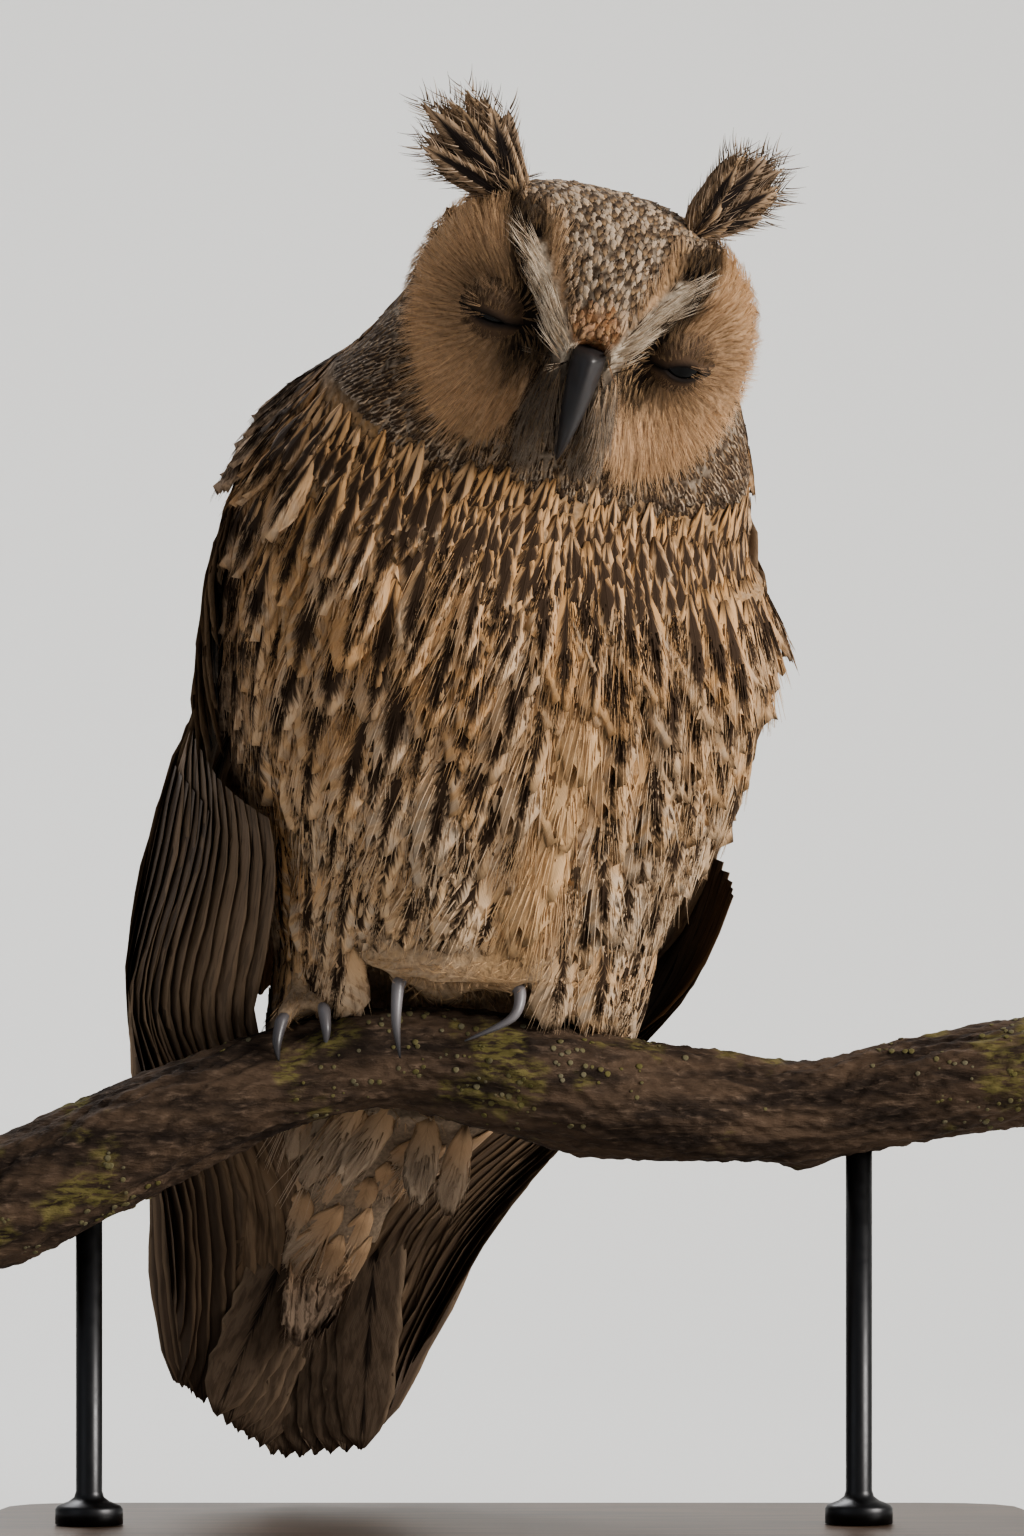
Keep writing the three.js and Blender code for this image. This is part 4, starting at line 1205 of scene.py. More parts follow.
class OWL_OT_skin(bpy.types.Operator):
    """Make one skin from the flesh solids, inside them by the coat's depth"""

    bl_idname = "owl.skin"
    bl_label = "Skin"

    def execute(self, context):
        settings = context.scene.owl_plumage
        names = ("head", "neck", "torso", "leg_left", "leg_right", "foot_left", "foot_right")
        points, faces = largest_shell(flesh(names, settings.voxel))
        points = relax(points, faces, 3)
        for _ in range(3):
            points = points - normals_of(points, faces) * (coat_depth(points, settings) / 3)[:, None]
            points = relax(points, faces, 1)
        SKIN.update(points=points, faces=faces, normals=normals_of(points, faces))
        SKIN["slopes"] = unit(relax(SKIN["normals"], faces, 30))
        SKIN["tree"] = BVHTree.FromPolygons(points.tolist(), faces)
        draw = np.random.default_rng(2)
        ground, marks, _ = body_ground(points, draw)
        local = head_local(points)
        face, face_marks, _, _ = head_ground(local, draw)
        on_face = smooth(local[:, 1], -14, -6) * smooth(local[:, 2], -36, -28)
        ground, marks = mix(ground, face, on_face), mix(marks, face_marks, on_face)
        mesh = mesh_from("skin", points, faces, {"ground": ground, "marks": marks})
        map_skin(mesh, unwrap_place(points)[:, :2])
        mesh.materials.append(skin_material())
        finish_piece(new_object("skin", mesh), names)
        return {"FINISHED"}


class OWL_OT_body_plumage(bpy.types.Operator):
    """Cover neck, breast, belly, back and undertail with contour feathers and loose barbs"""

    bl_idname = "owl.body_plumage"
    bl_label = "Body plumage"

    def execute(self, context):
        settings = context.scene.owl_plumage
        draw = np.random.default_rng(5)
        material = plumage_material("Body plumage", SOOT_BROWN, OCHRE, 70.0, 0.82)
        at, up, t, angle, fine, lie, room = body_roots(settings, draw)
        coat = body_ground(at, draw)
        low = smooth(t, 9.4, 10.6) * smooth(np.sin(angle), 0, 0.3)
        length = (37 - 11 * fine) * (0.9 + 0.2 * draw.random(len(t))) * (1 - 0.25 * low)
        length = np.minimum(length, room)
        narrow = np.where(t > BELLY_ROWS[0], np.clip(row_at(TRUNK, t)[:, 3] / 62, 0.62, 1.1), 1)
        width = (16.5 - 8.0 * fine) * narrow * (0.9 + 0.2 * draw.random(len(t)))
        width = np.minimum(width, 0.75 * length)
        rise = 0.08 + 0.012 * draw.standard_normal(len(t))
        roots = roots_table(at + up * 0.6, lie, up, rise, width, length, coat)
        front = np.sin(angle) > 0.1
        places = {"breast": front & (t < 7.2), "belly": front & (t >= 7.2), "back": ~front}
        for seed, (name, taken) in enumerate(places.items(), 1):
            parts = (("plumage_" + name, taken, "contour", seed), ("fringe_" + name, taken, "fringe", seed))
            plant(parts, roots, material, "body_plumage")
        self.loose_barbs(settings, draw, material)
        return {"FINISHED"}

    def loose_barbs(self, settings, draw, material):
        at, up, t, angle, fine, lie, room = body_roots(settings, draw, 1.6, 0.4, 2, 0.07)
        ground, marks, habit = body_ground(at, draw)
        coat = (ground, marks * np.array([0.4, 0.2, 0.2]), habit)
        length = np.minimum((36 - 15 * fine) * (0.75 + 0.35 * draw.random(len(t))), room)
        rise = 0.09 + 0.02 * draw.standard_normal(len(t))
        roots = roots_table(at, lie, up, rise, length * 0.62, length, coat)
        front = np.sin(angle) > 0.1
        parts = (("barbs_front", front, "plume", 4), ("barbs_back", ~front, "plume", 5))
        plant(parts, roots, material, "body_plumage")


# Half sizes of the face's egg: side, forward and height
FACE_HALVES = (47, 36, 41)
FACE_LENGTHS = {"disc": 7.5, "rim": 4.5, "forehead": 3.6, "brow": 9.0, "lore": 12.0, "chin": 4.5}


def face_lie(local, up, zones, draw):
    """The lie of the face's feathers: away from the eyes on the discs, and each other zone its own way."""
    side, _, height = local.T
    flank = np.where(side >= 0, 1.0, -1.0)
    radial = (side - flank * (EYE["side"] - 3), -4.0, height - EYE["height"])
    ways = {
        "disc": radial, "rim": radial, "forehead": (0.3 * side, -6.0, 14.0), "brow": (flank * 18, 6.0, 18.0),
        "lore": (flank * -1.2, 8.0, -14.0), "chin": (0.2 * side, -2.0, -14.0),
    }
    lie = unit(head_vector(side * 0.5, -16.0, 2.0)) * 0.4
    for key, way in ways.items():
        lie = lie + unit(head_vector(*way)) * zones[key][:, None] * 2
    loose = 0.16 + 0.16 * zones["forehead"]
    return level(lie + loose[:, None] * draw.standard_normal(lie.shape), up)


class OWL_OT_face_plumage(bpy.types.Operator):
    """Cover the face with its discs, rim, brows, bristles and forehead"""

    bl_idname = "owl.face_plumage"
    bl_label = "Face plumage"

    def execute(self, context):
        draw = np.random.default_rng(8)
        at, up = skin_samples(150000, draw)
        local = head_local(at)
        side, forward, height = local.T
        shell = np.linalg.norm(local / FACE_HALVES, axis=1)
        ruff = 1 - smooth(forward, -20, -12) * smooth(height, -42, -33)
        around = (height > -54) & (shell > 0.5) & (shell < 1.65) & (at[:, 2] > 262)
        self.grow_ruff(at, up, around & (draw.random(len(at)) < ruff), draw)
        inside = (forward > -14) & (height > -34) & (shell > 0.5) & (shell < 1.35)
        bill = (np.abs(side) < 3.4) & (height < 9) & (height > -24) & (forward > 20)
        eyes = [on_head(flank * EYE["side"], EYE["forward"], EYE["height"]) for flank in (1, -1)]
        clear = np.min([np.linalg.norm(at - eye, axis=1) for eye in eyes], axis=0) > 7.6
        inside &= ~bill & clear
        at, up, local = at[inside], up[inside], local[inside]
        *_, zones = head_ground(local, draw)
        hair_like = zones["disc"] + zones["brow"] + zones["lore"]
        spacing = 1.15 + 0.25 * (1 - hair_like) + 0.9 * smooth(local[:, 1], 8, -10)
        kept = thin_out(at, spacing)
        at, up, local = at[kept], up[kept], local[kept]
        *coat, zones = head_ground(local, draw)
        lie = face_lie(local, up, zones, draw)
        rise = 0.18 + 0.30 * zones["brow"] + 0.40 * zones["lore"] + 0.08 * zones["disc"]
        length = np.full(len(at), 9.0)
        for key, value in FACE_LENGTHS.items():
            length = length * (1 - zones[key]) + value * zones[key]
        length = length * (0.8 + 0.45 * draw.random(len(at)))
        hairy = (zones["disc"] + zones["brow"] + zones["lore"]) > 0.5
        roots = roots_table(at, lie, up, rise, length * np.where(hairy, 0.5, 0.48), length, coat)
        material = plumage_material("Face plumage", SOOT_BROWN, BUFF, 26.0, 0.85)
        parts = (("face_hair", hairy, "hair", 6), ("face_short", ~hairy, "short", 7))
        plant(parts, roots, material, "face_plumage")
        return {"FINISHED"}

    def grow_ruff(self, at, up, chosen, draw):
        """Slim feathers behind and below the face, between its rim and the breast."""
        at, up = at[chosen], up[chosen]
        kept = thin_out(at, 3.3)
        at, up = at[kept], up[kept]
        side, _, height = head_local(at).T
        t, angle = trunk_place(at)
        back = unit(head_vector(side * 0.6, -16.0, -6.0))
        lie = unit(flow(t, angle, up, draw, 0.1) + 0.9 * back * smooth(height, -22, 8)[:, None])
        ground, marks, habit = body_ground(at, draw)
        pepper = mix(SOOT_BROWN, PALE, smooth(draw.random(len(at)), 0.3, 0.6))
        near = smooth(height, -50, -28) * 0.75
        ground[:, :3] = mix(ground[:, :3], mix(GREY_BROWN, pepper, 0.6), near)
        marks[:, 0] += 0.16
        length = (19 - 9 * near) * (0.8 + 0.35 * draw.random(len(at)))
        coat = (ground, marks, habit)
        roots = roots_table(at + up * 0.5, level(lie, up), up, 0.13, length * 0.42, length, coat)
        material = bpy.data.materials["Body plumage"]
        grow("plumage_ruff", roots, "short", material, 12, "body_plumage")


class OWL_OT_leg_plumage(bpy.types.Operator):
    """Cover legs and toes with short down"""

    bl_idname = "owl.leg_plumage"
    bl_label = "Leg plumage"

    def execute(self, context):
        draw = np.random.default_rng(9)
        at, up = skin_samples(60000, draw)
        below = (at[:, 2] < 163) & (at[:, 1] < 24)
        at, up = at[below], up[below]
        kept = thin_out(at, 1.7)
        at, up = at[kept], up[kept]
        count = len(at)
        lie = np.c_[0.3 * draw.standard_normal(count), (at[:, 1] - 2) * 0.06, np.full(count, -0.9)]
        length = 4.6 * (0.7 + 0.6 * draw.random(count))
        ground = opaque(mix(BUFF, CREAM, draw.random(count) * 0.6))
        habit = np.c_[0.3 + 0.5 * draw.random(count), np.full(count, 0.15), draw.random(count)]
        coat = (ground, np.zeros((count, 3)), habit)
        roots = roots_table(at, level(lie, up), up, 0.25, length * 0.5, length, coat)
        material = plumage_material("Leg plumage", SOOT_BROWN, BUFF, 30.0, 0.88)
        grow("leg_plumage", roots, "hair", material, 8, "leg_plumage")
        return {"FINISHED"}


class OWL_OT_wings(bpy.types.Operator):
    """Lay flight feathers and coverts over both folded wings"""

    bl_idname = "owl.wings"
    bl_label = "Wings"

    def execute(self, context):
        dark, base, edge = (0.018, 0.013, 0.010), (0.10, 0.07, 0.05), (0.26, 0.18, 0.115)
        material = plumage_material("Wing plumage", dark, base, 110.0, 0.7, 0.55, edge)
        for flank, name in ((1, "wing_left"), (-1, "wing_right")):
            vanes = Vanes(20 + flank)
            for tier in TIERS:
                self.add_tier(vanes, flank, tier)
            finish_piece(vanes.build("feathers_" + name, material), (name,))
        return {"FINISHED"}

    def add_tier(self, vanes, flank, tier):
        count, root_u, root_v, tip_u, tip_v, drop, half, rise, kind = tier
        ground, marks, pale = TIER_LOOK[kind]
        draw = vanes.draw
        for i in range(count):
            share = i / (count - 1)
            reach = tip_u - drop * abs(i - 1.5) - 0.035 * draw.random()
            start_v = root_v[0] + (root_v[1] - root_v[0]) * share
            end_v = tip_v[0] + (tip_v[1] - tip_v[0]) * share + 0.008 * draw.standard_normal()

            def place(f, reach=reach, start_v=start_v, end_v=end_v):
                u, v = root_u + (reach - root_u) * f, start_v + (end_v - start_v) * f
                normal = wing_normal(flank, u, v)
                return wing_sheet(flank, u, v) + normal * (-1.5 + (rise + 1.5) * f)[:, None], normal

            colour = np.array(ground) * (0.8 + 0.5 * draw.random())
            if kind != "primary":
                colour = mix(colour, BUFF, 0.18 * draw.random())
            mark = np.array(marks) * (0.8 + 0.4 * draw.random())
            habit = (0.35 + 0.4 * draw.random(), pale * draw.random(), draw.random())
            root = (0.1 + 0.8 * start_v, 0.95 - 0.8 * root_u)
            shape = LONG_VANE if kind in ("primary", "secondary") else SHORT_VANE
            half_width = half * (0.92 + 0.16 * draw.random())
            vanes.add(place, half_width, root, colour, mark, habit, columns=8, tilt=0.11 * flank, **shape)


class OWL_OT_tail(bpy.types.Operator):
    """Stack the tail feathers outwards from the middle pair"""

    bl_idname = "owl.tail"
    bl_label = "Tail"

    def execute(self, context):
        _, side, front, _ = section_at(TRUNK, 12.0)
        root, tip = np.array([-42, 54, 112.0]), np.array([-63, 81.5, 24.0])
        along = tip - root
        vanes = Vanes(31)
        for i in range(12):
            flank, k = (1 if i % 2 else -1), i // 2
            share = (k + 0.5) / 6 * flank

            def place(f, share=share, k=k, i=i):
                half = (8 + 15 * f) * share
                shaft = root + along * (0.02 + (0.99 - 0.02 * k) * f)[:, None]
                point = shaft + side * half[:, None] - front * (3.2 - 0.95 * k - 0.15 * (i % 2))
                return point, np.broadcast_to(-front, point.shape)

            ground = np.array((0.13, 0.092, 0.064)) * (0.85 + 0.3 * vanes.draw.random())
            habit = (0.5, 0.05, vanes.draw.random())
            vanes.add(
                place, 8.6, (0.5 + 0.06 * share, 0.1), ground, (0.08, 0.5, 0.3), habit,
                columns=8, rows=20, tilt=0, camber=-0.04, fray=0.01, blunt=8.0, notch=0.2,
            )
        dark, base, edge = (0.022, 0.015, 0.011), (0.14, 0.10, 0.07), (0.30, 0.22, 0.15)
        material = plumage_material("Tail plumage", dark, base, 110.0, 0.75, 0.5, edge)
        finish_piece(vanes.build("feathers_tail", material), ("tail",))
        return {"FINISHED"}


TUFT_FEATHERS = 17
TUFT_BARBS = 46
TUFTS = {
    "left": {"root": (20, 4, 34), "lean": (0.55, -0.1, 0.9), "spread": (0.4, 0, -0.45), "length": 35},
    "right": {"root": (-24, 4, 29), "lean": (-0.95, -0.15, 0.6), "spread": (0.4, 0, 0.5), "length": 42},
}


class OWL_OT_ear_tufts(bpy.types.Operator):
    """Fan the long feathers of both ear tufts, with loose barbs along their edges"""

    bl_idname = "owl.ear_tufts"
    bl_label = "Ear tufts"

    def execute(self, context):
        material = plumage_material("Tuft plumage", (0.020, 0.014, 0.012), BUFF, 50.0, 0.85)
        for name, tuft in TUFTS.items():
            vanes = Vanes(40 + len(name))
            for i in range(TUFT_FEATHERS):
                self.feather(vanes, tuft, i)
            made = vanes.build("feathers_tuft_" + name, material)
            finish_piece(made, ("ear_tuft_" + name,))
        return {"FINISHED"}

    def feather(self, vanes, tuft, i):
        draw = vanes.draw
        facing = head_vector(0.0, 1.0, 0.0)
        lean, spread = unit(tuft["lean"]), np.array(tuft["spread"])
        share = i / (TUFT_FEATHERS - 1) - 0.5 + 0.03 * draw.standard_normal()
        reach = tuft["length"] * (1 - 0.8 * abs(share) ** 1.5 - 0.12 * draw.random())
        way = unit(head_vector(*(lean + spread * 1.25 * share)))
        bend = head_vector(*(spread * 8 * share + lean * -2))
        layer = i % 4
        start = on_head(*tuft["root"]) - way * 4 + facing * (1.3 * layer - 1.6)
        tuck = facing * (2.0 * draw.random() - 1)

        def place(f):
            f = np.asarray(f, float)
            point = start + way * ((reach + 4) * f)[..., None] + (bend + tuck) * (f**2)[..., None]
            return point, np.broadcast_to(facing, point.shape)

        half = 2.6 + 1.0 * draw.random()
        fringe = mix(GREY_BROWN, BUFF, 0.2 + 0.5 * draw.random())
        root = (0.2 + 0.03 * i, 0.97)
        habit = (0.45, 0.1, draw.random())
        vanes.add(
            place, half, root, fringe, (0.62, 0.0, 0.0), habit, columns=6, rows=10,
            tilt=0.1 * draw.standard_normal(), camber=0.2, fray=0.12, blunt=3.0, notch=0.4,
        )
        grey = mix(fringe, (0.34, 0.29, 0.25), 0.5)
        for k in range(TUFT_BARBS):
            f = 0.15 + 0.85 * (k // 2 + draw.random()) / (TUFT_BARBS / 2)
            flank = 1 if k % 2 else -1
            (on_shaft, before, after), _ = place(np.array([f, f - 0.05, min(1.0, f + 0.05)]))
            ahead = unit(after - before)
            side = np.cross(ahead, facing) * flank
            colour = (0.035, 0.026, 0.022) if draw.random() < 0.35 + 0.3 * f else grey
            length = (7.5 - 2.5 * f) * (0.7 + 0.5 * draw.random())
            out = side * (0.55 + 0.2 * draw.random())
            heading = unit(ahead * 0.85 + out + facing * 0.16 * draw.standard_normal())
            base = on_shaft + side * half * 0.45 * (1 - 0.3 * f)
            curl = ahead * 0.10 * length - side * 0.14 * length
            vanes.barb(base, heading, curl, length, 0.17, root, colour, habit)


def eye_frame(flank):
    """Centre of an eye, and its side, up and forward axes, in millimetres."""
    centre = on_head(flank * EYE["side"], EYE["forward"], EYE["height"])
    ahead = unit(head_vector(flank * 0.22, 1.0, -0.06))
    top = head_vector(0.0, 0.0, 1.0)
    over = unit(top - ahead * (top @ ahead))
    return centre, np.cross(over, ahead), over, ahead


# Angles round the eye: the slit's half width, how low it lies, its slant and its two openings,
# how far the lids reach over and beside it, and the share of a lid that is its margin
SLIT = {"corner": 0.50, "low": 0.10, "slant": 0.05, 1: 0.20, -1: 0.09}
LID_REACH = 1.15
LID_SPAN = 1.25
LID_MARGIN = 0.12


class OWL_OT_eyes(bpy.types.Operator):
    """Set wet eyes behind nearly closed lids"""

    bl_idname = "owl.eyes"
    bl_label = "Eyes"

    def execute(self, context):
        iris = tuple(context.scene.owl_horn.iris)
        for flank, name in ((1, "left"), (-1, "right")):
            self.ball(name, eye_frame(flank), iris)
            self.lids(name, eye_frame(flank), flank)
            self.lid_down(name, eye_frame(flank), flank)
        return {"FINISHED"}

    def ball(self, name, eye, iris):
        centre, across, over, ahead = eye
        rings = []
        for i in range(1, 40):
            polar = PI * i / 40
            bulge = EYE["radius"] * (1 + 0.10 * math.exp(-((polar / 0.62) ** 4)) - 0.06)
            ring = []
            for j in range(48):
                a = 2 * PI * j / 48
                flat = across * math.cos(a) + over * math.sin(a)
                ring.append(centre + (ahead * math.cos(polar) + flat * math.sin(polar)) * bulge)
            rings.append(ring)
        mesh = tube_mesh("eye_ball_" + name, rings)
        points = np.zeros(len(mesh.vertices) * 3)
        mesh.vertices.foreach_get("co", points)
        away = unit(points.reshape(-1, 3) / MM - centre) @ ahead
        gaze = mesh.attributes.new("gaze", "FLOAT", "POINT")
        gaze.data.foreach_set("value", np.arccos(np.clip(away, -1, 1)))
        material, g = new_material("Eye " + name)
        angle = g.attribute("gaze", "Fac")
        fibres = g.noise(g.objects(), 1500.0, 2.0)
        ring = g.blend(g.times(fibres, 0.5), iris, OCHRE)
        seen = g.blend(g.step(angle, 0.50, 0.54), (0.002, 0.002, 0.002), ring)
        colour = g.blend(g.step(angle, 0.72, 0.80), seen, (0.01, 0.007, 0.006))
        g.surface(Base_Color=colour, Roughness=0.06, Specular_IOR_Level=0.2)
        mesh.materials.append(material)
        finish_piece(new_object("eye_ball_" + name, mesh), ("eye_" + name,))

    def lids(self, name, eye, flank):
        centre, across, over, ahead = eye
        rows, columns = 12, 37
        points, faces, shade = [], [], []
        for sign in (1, -1):
            first = len(points)
            for i in range(rows):
                for j in range(columns):
                    lon = LID_SPAN * (2 * j / (columns - 1) - 1)
                    gape = max(0.0, 1 - (lon / SLIT["corner"]) ** 2)
                    edge = sign * SLIT[flank] * gape * (1.0 if sign > 0 else 0.9)
                    edge = edge - SLIT["low"] + SLIT["slant"] * lon * flank
                    f = i / (rows - 1)
                    lat = edge + (sign * LID_REACH - edge) * max(0.0, (f - LID_MARGIN) / (1 - LID_MARGIN))
                    rim = 0.35 * math.exp(-((f - 0.16) / 0.06) ** 2) - 0.75 * max(0.0, 1 - f / LID_MARGIN)
                    way = ahead * math.cos(lon) * math.cos(lat) + across * math.sin(lon) * math.cos(lat)
                    points.append(centre + (way + over * math.sin(lat)) * (EYE["radius"] + 0.95 + rim))
                    shade.append(f)
            block = grid_faces(rows, columns, first)
            faces += block if sign > 0 else [tuple(reversed(f)) for f in block]
        mesh = mesh_from("eyelids_" + name, points, faces, {"margin": shade})
        mesh.materials.append(bpy.data.materials.get("Eyelid") or self.lid_material())
        lid = new_object("eyelids_" + name, mesh)
        shell = lid.modifiers.new("Thickness", "SOLIDIFY")
        shell.thickness = 0.5 * MM
        shell.offset = -1
        finish_piece(lid, ())

    def lid_down(self, name, eye, flank):
        """Tiny feathers that lie over both lids, away from the slit."""
        centre, across, over, ahead = eye
        draw = np.random.default_rng(60 + flank)
        count = 450
        lon = LID_REACH * (2 * draw.random(count) - 1)
        sign = np.where(draw.random(count) > 0.4, 1.0, -1.0)
        gape = np.maximum(0, 1 - (lon / SLIT["corner"]) ** 2)
        lat = sign * (SLIT[flank] * gape + 0.13 + 0.95 * draw.random(count) ** 1.3)
        lat = lat - SLIT["low"] + SLIT["slant"] * lon * flank
        way = ahead * (np.cos(lon) * np.cos(lat))[:, None] + across * (np.sin(lon) * np.cos(lat))[:, None]
        way = unit(way + over * np.sin(lat)[:, None])
        lie = over * sign[:, None] * 0.9 + across * np.sin(lon)[:, None] * 0.9
        lie = level(lie + 0.15 * draw.standard_normal((count, 3)), way)
        length = 3.0 + 1.8 * draw.random(count)
        near = smooth(np.abs(lat + SLIT["low"]), 0.55, 0.15)
        ground = mix(mix(GREY_BROWN, BUFF, 0.5 * draw.random(count)), SOOT_BROWN, 0.75 * near)
        ground = opaque(mix(ground, SOOT, smooth(np.sin(lon) * -flank, 0.2, 0.75)))
        habit = np.c_[0.3 + 0.4 * draw.random(count), np.zeros(count), draw.random(count)]
        at, coat = centre + way * (EYE["radius"] + 0.8), (ground, np.zeros((count, 3)), habit)
        roots = roots_table(at, lie, way, 0.16, length * 0.45, length, coat)
        material = bpy.data.materials["Face plumage"]
        grow("lid_down_" + name, roots, "hair", material, 9 + flank, "face_plumage")

    def lid_material(self):
        material, g = new_material("Eyelid")
        wrinkle = g.noise(g.objects(), 1300.0, 3.0)
        edge = g.attribute("margin", "Fac")
        colour = g.blend(g.step(edge, 0.1, 0.35), (0.012, 0.009, 0.008), (0.10, 0.062, 0.038))
        g.surface(
            Base_Color=g.blend(g.times(wrinkle, 0.5), colour, (0.02, 0.014, 0.011)),
            Roughness=0.8, Specular_IOR_Level=0.15, Normal=g.bump(wrinkle, 0.5, 0.0003),
        )
        return material


def solid_piece(name, rings, material, node):
    """A closed smooth piece over rings of points, in place of one solid."""
    mesh = tube_mesh(name, rings)
    mesh.materials.append(material)
    finish_piece(new_object(name, mesh), (node,))


# forward and top place the root in the head's own axes. hook is how far the bill bows forward.
BILL = {
    "bill_upper": {"length": 30, "width": 9, "depth": 12, "forward": 37, "top": 8, "hook": 6.5},
    "bill_lower": {"length": 22, "width": 7.5, "depth": 7, "forward": 31, "top": -2, "hook": 4},
}


class OWL_OT_bill(bpy.types.Operator):
    """Shape the hooked bill smoothly, with its mouth line and nostrils"""

    bl_idname = "owl.bill"
    bl_label = "Bill"

    def execute(self, context):
        base = tuple(context.scene.owl_horn.bill)
        material = horn_material("Bill horn", (0.022, 0.021, 0.023), base, 300, 326, 0.30)
        for name, sizes in BILL.items():
            solid_piece("horn_" + name, self.rings(**sizes), material, name)
        return {"FINISHED"}

    def rings(self, length, width, depth, forward, top, hook):
        rings = []
        for i in range(33):
            f = i / 32
            thin = (1 - f**1.7) * 0.93 + 0.07
            ahead = forward + hook * math.sin(f * PI * 0.62)
            ring = []
            for j in range(40):
                a = 2 * PI * j / 40
                keel = 0.12 * depth * max(0.0, math.sin(a)) ** 6
                x = width / 2 * thin * math.cos(a) * (1 - 0.18 * max(0.0, math.sin(a)))
                y = ahead + (depth / 2 * math.sin(a) + keel * 0.4) * thin - depth / 2 * (1 - thin) * 0.3
                for flank in (-1, 1):
                    hole = math.hypot((x - flank * 3.3) / 1.0, (f * length - 6.0) / 1.7)
                    y -= 0.9 * math.exp(-(hole**2)) * (math.sin(a) > 0) * (length > 25)
                ring.append(on_head(x, y, top - length * f))
            rings.append(ring)
        return rings


# How far the branch bows back and forth, and the length that sets its wave
BOW, BOW_LENGTH = 2.5, 45


def branch_at(x):
    """Row of the branch at a place along it: x, height of the core and radius."""
    return row_at(BENDS, np.interp(x, BENDS[:, 0], range(len(BENDS))))


def branch_depth(x):
    return BOW * math.sin(x / BOW_LENGTH)


def perch_top(x):
    row = branch_at(x)
    return row[..., 1] + row[..., 2]


# Each claw: knuckle, toe end, bend and tip, with heights above the branch
CLAWS = {
    "left": [
        ((-28, -10, 9), (-30, -18, 5.5), (-30.5, -20.5, -4), (-29.5, -18.5, -13.5)),
        ((-9, -9, 8), (2, -15.5, 6.5), (0, -19.5, -1), (-12.5, -20, -8.5)),
        ((-11, 11, 4), (-5, 18.5, -4), (-3, 20.5, -12), (-2, 18.5, -20)),
        ((-22, 12, 4), (-25, 19, -4), (-26, 20.5, -12), (-26, 18.5, -20)),
    ],
    "right": [
        ((-58, -4, 6), (-61, -10, 2), (-62, -13.2, -3), (-61.5, -13.6, -8)),
        ((-50.5, -4, 6), (-49.5, -10.5, 2), (-49, -13.4, -3), (-49, -13.7, -8)),
        ((-61, 11, 3), (-66, 18, -5), (-67, 20, -13), (-67, 18, -21)),
        ((-49, 12, 3), (-46, 19, -5), (-45, 20.5, -13), (-45, 18.5, -21)),
    ],
}


def spline(points, f):
    """A smooth curve through points at a share of its length."""
    points = np.asarray(points, float)
    return row_at(points, f * (len(points) - 1))


class OWL_OT_claws(bpy.types.Operator):
    """Curve the claws out of the toes"""

    bl_idname = "owl.claws"
    bl_label = "Claws"

    def execute(self, context):
        colour = tuple(context.scene.owl_horn.claw)
        material = horn_material("Claw horn", (0.20, 0.19, 0.20), colour, 136, 153, 0.25)
        for foot, claws in CLAWS.items():
            for i, places in enumerate(claws):
                knuckle, end, bend, tip = (np.array((x, y, perch_top(x) + z)) for x, y, z in places)
                path = [knuckle + (end - knuckle) * 0.7, end, bend, tip]
                rings = []
                for k in range(25):
                    f = k / 24
                    at = spline(path, f)
                    way = unit(spline(path, min(1, f + 0.02)) - spline(path, max(0, f - 0.02)))
                    side = unit(np.cross(way, (0, 1, 0.1)))
                    over = np.cross(side, way)
                    r = np.interp(f, (0, 0.33, 0.66, 1), (1.75, 2.15, 1.55, 0.25))
                    a = 2 * PI * np.arange(20)[:, None] / 20
                    rings.append(at + side * 0.82 * r * np.cos(a) + over * r * np.sin(a))
                name = f"claw_{foot}_{i + 1}"
                solid_piece("horn_" + name, rings, material, name)
        return {"FINISHED"}


def bark_material(colour):
    material, g = new_material("Bark")
    place = g.objects()
    x, y, z = g.parts(place)[:3]
    grain = g.vector(g.times(x, 0.25), y, z)
    coarse = g.noise(grain, 160.0, 6.0, 0.6)
    fine = g.noise(grain, 700.0, 4.0, 0.6)
    patch = g.noise(place, 38.0, 3.0, 0.6)
    green = g.times(g.step(patch, 0.56, 0.64), g.step(fine, 0.40, 0.55))
    body = g.blend(g.step(coarse, 0.35, 0.65), (0.022, 0.014, 0.010), colour)
    body = g.blend(g.times(g.step(fine, 0.5, 0.8), 0.6), body, (0.20, 0.14, 0.10))
    body = g.blend(g.times(green, 0.55), body, (0.17, 0.15, 0.045))
    height = g.line(coarse, 1.6, fine)
    g.surface(Base_Color=body, Roughness=0.88, Specular_IOR_Level=0.25, Normal=g.bump(height, 0.9, 0.0009))
    return material


# Each knot's place along the branch, its angle, height and width
KNOTS = ((88, 3.7, 3.5, 8), (-40, 0.6, 2.4, 8), (76, 4.6, 2.6, 6), (20, 4.2, 1.6, 9))


def flake_template():
    """A low cup with a wavy rim, in a collection of its own."""
    shelf = bpy.data.collections.new("flake")
    rings = []
    for size, height in ((0.9, -0.1), (0.99, 0.25), (0.54, 0.32)):
        ring = []
        for a in np.linspace(0, 2 * PI, 9)[:-1]:
            ring.append((size * math.cos(a) * (1 + 0.25 * math.sin(3 * a)), size * math.sin(a), height))
        rings.append(ring)
    new_object("flake_0", tube_mesh("flake_0", rings), shelf)
    return shelf


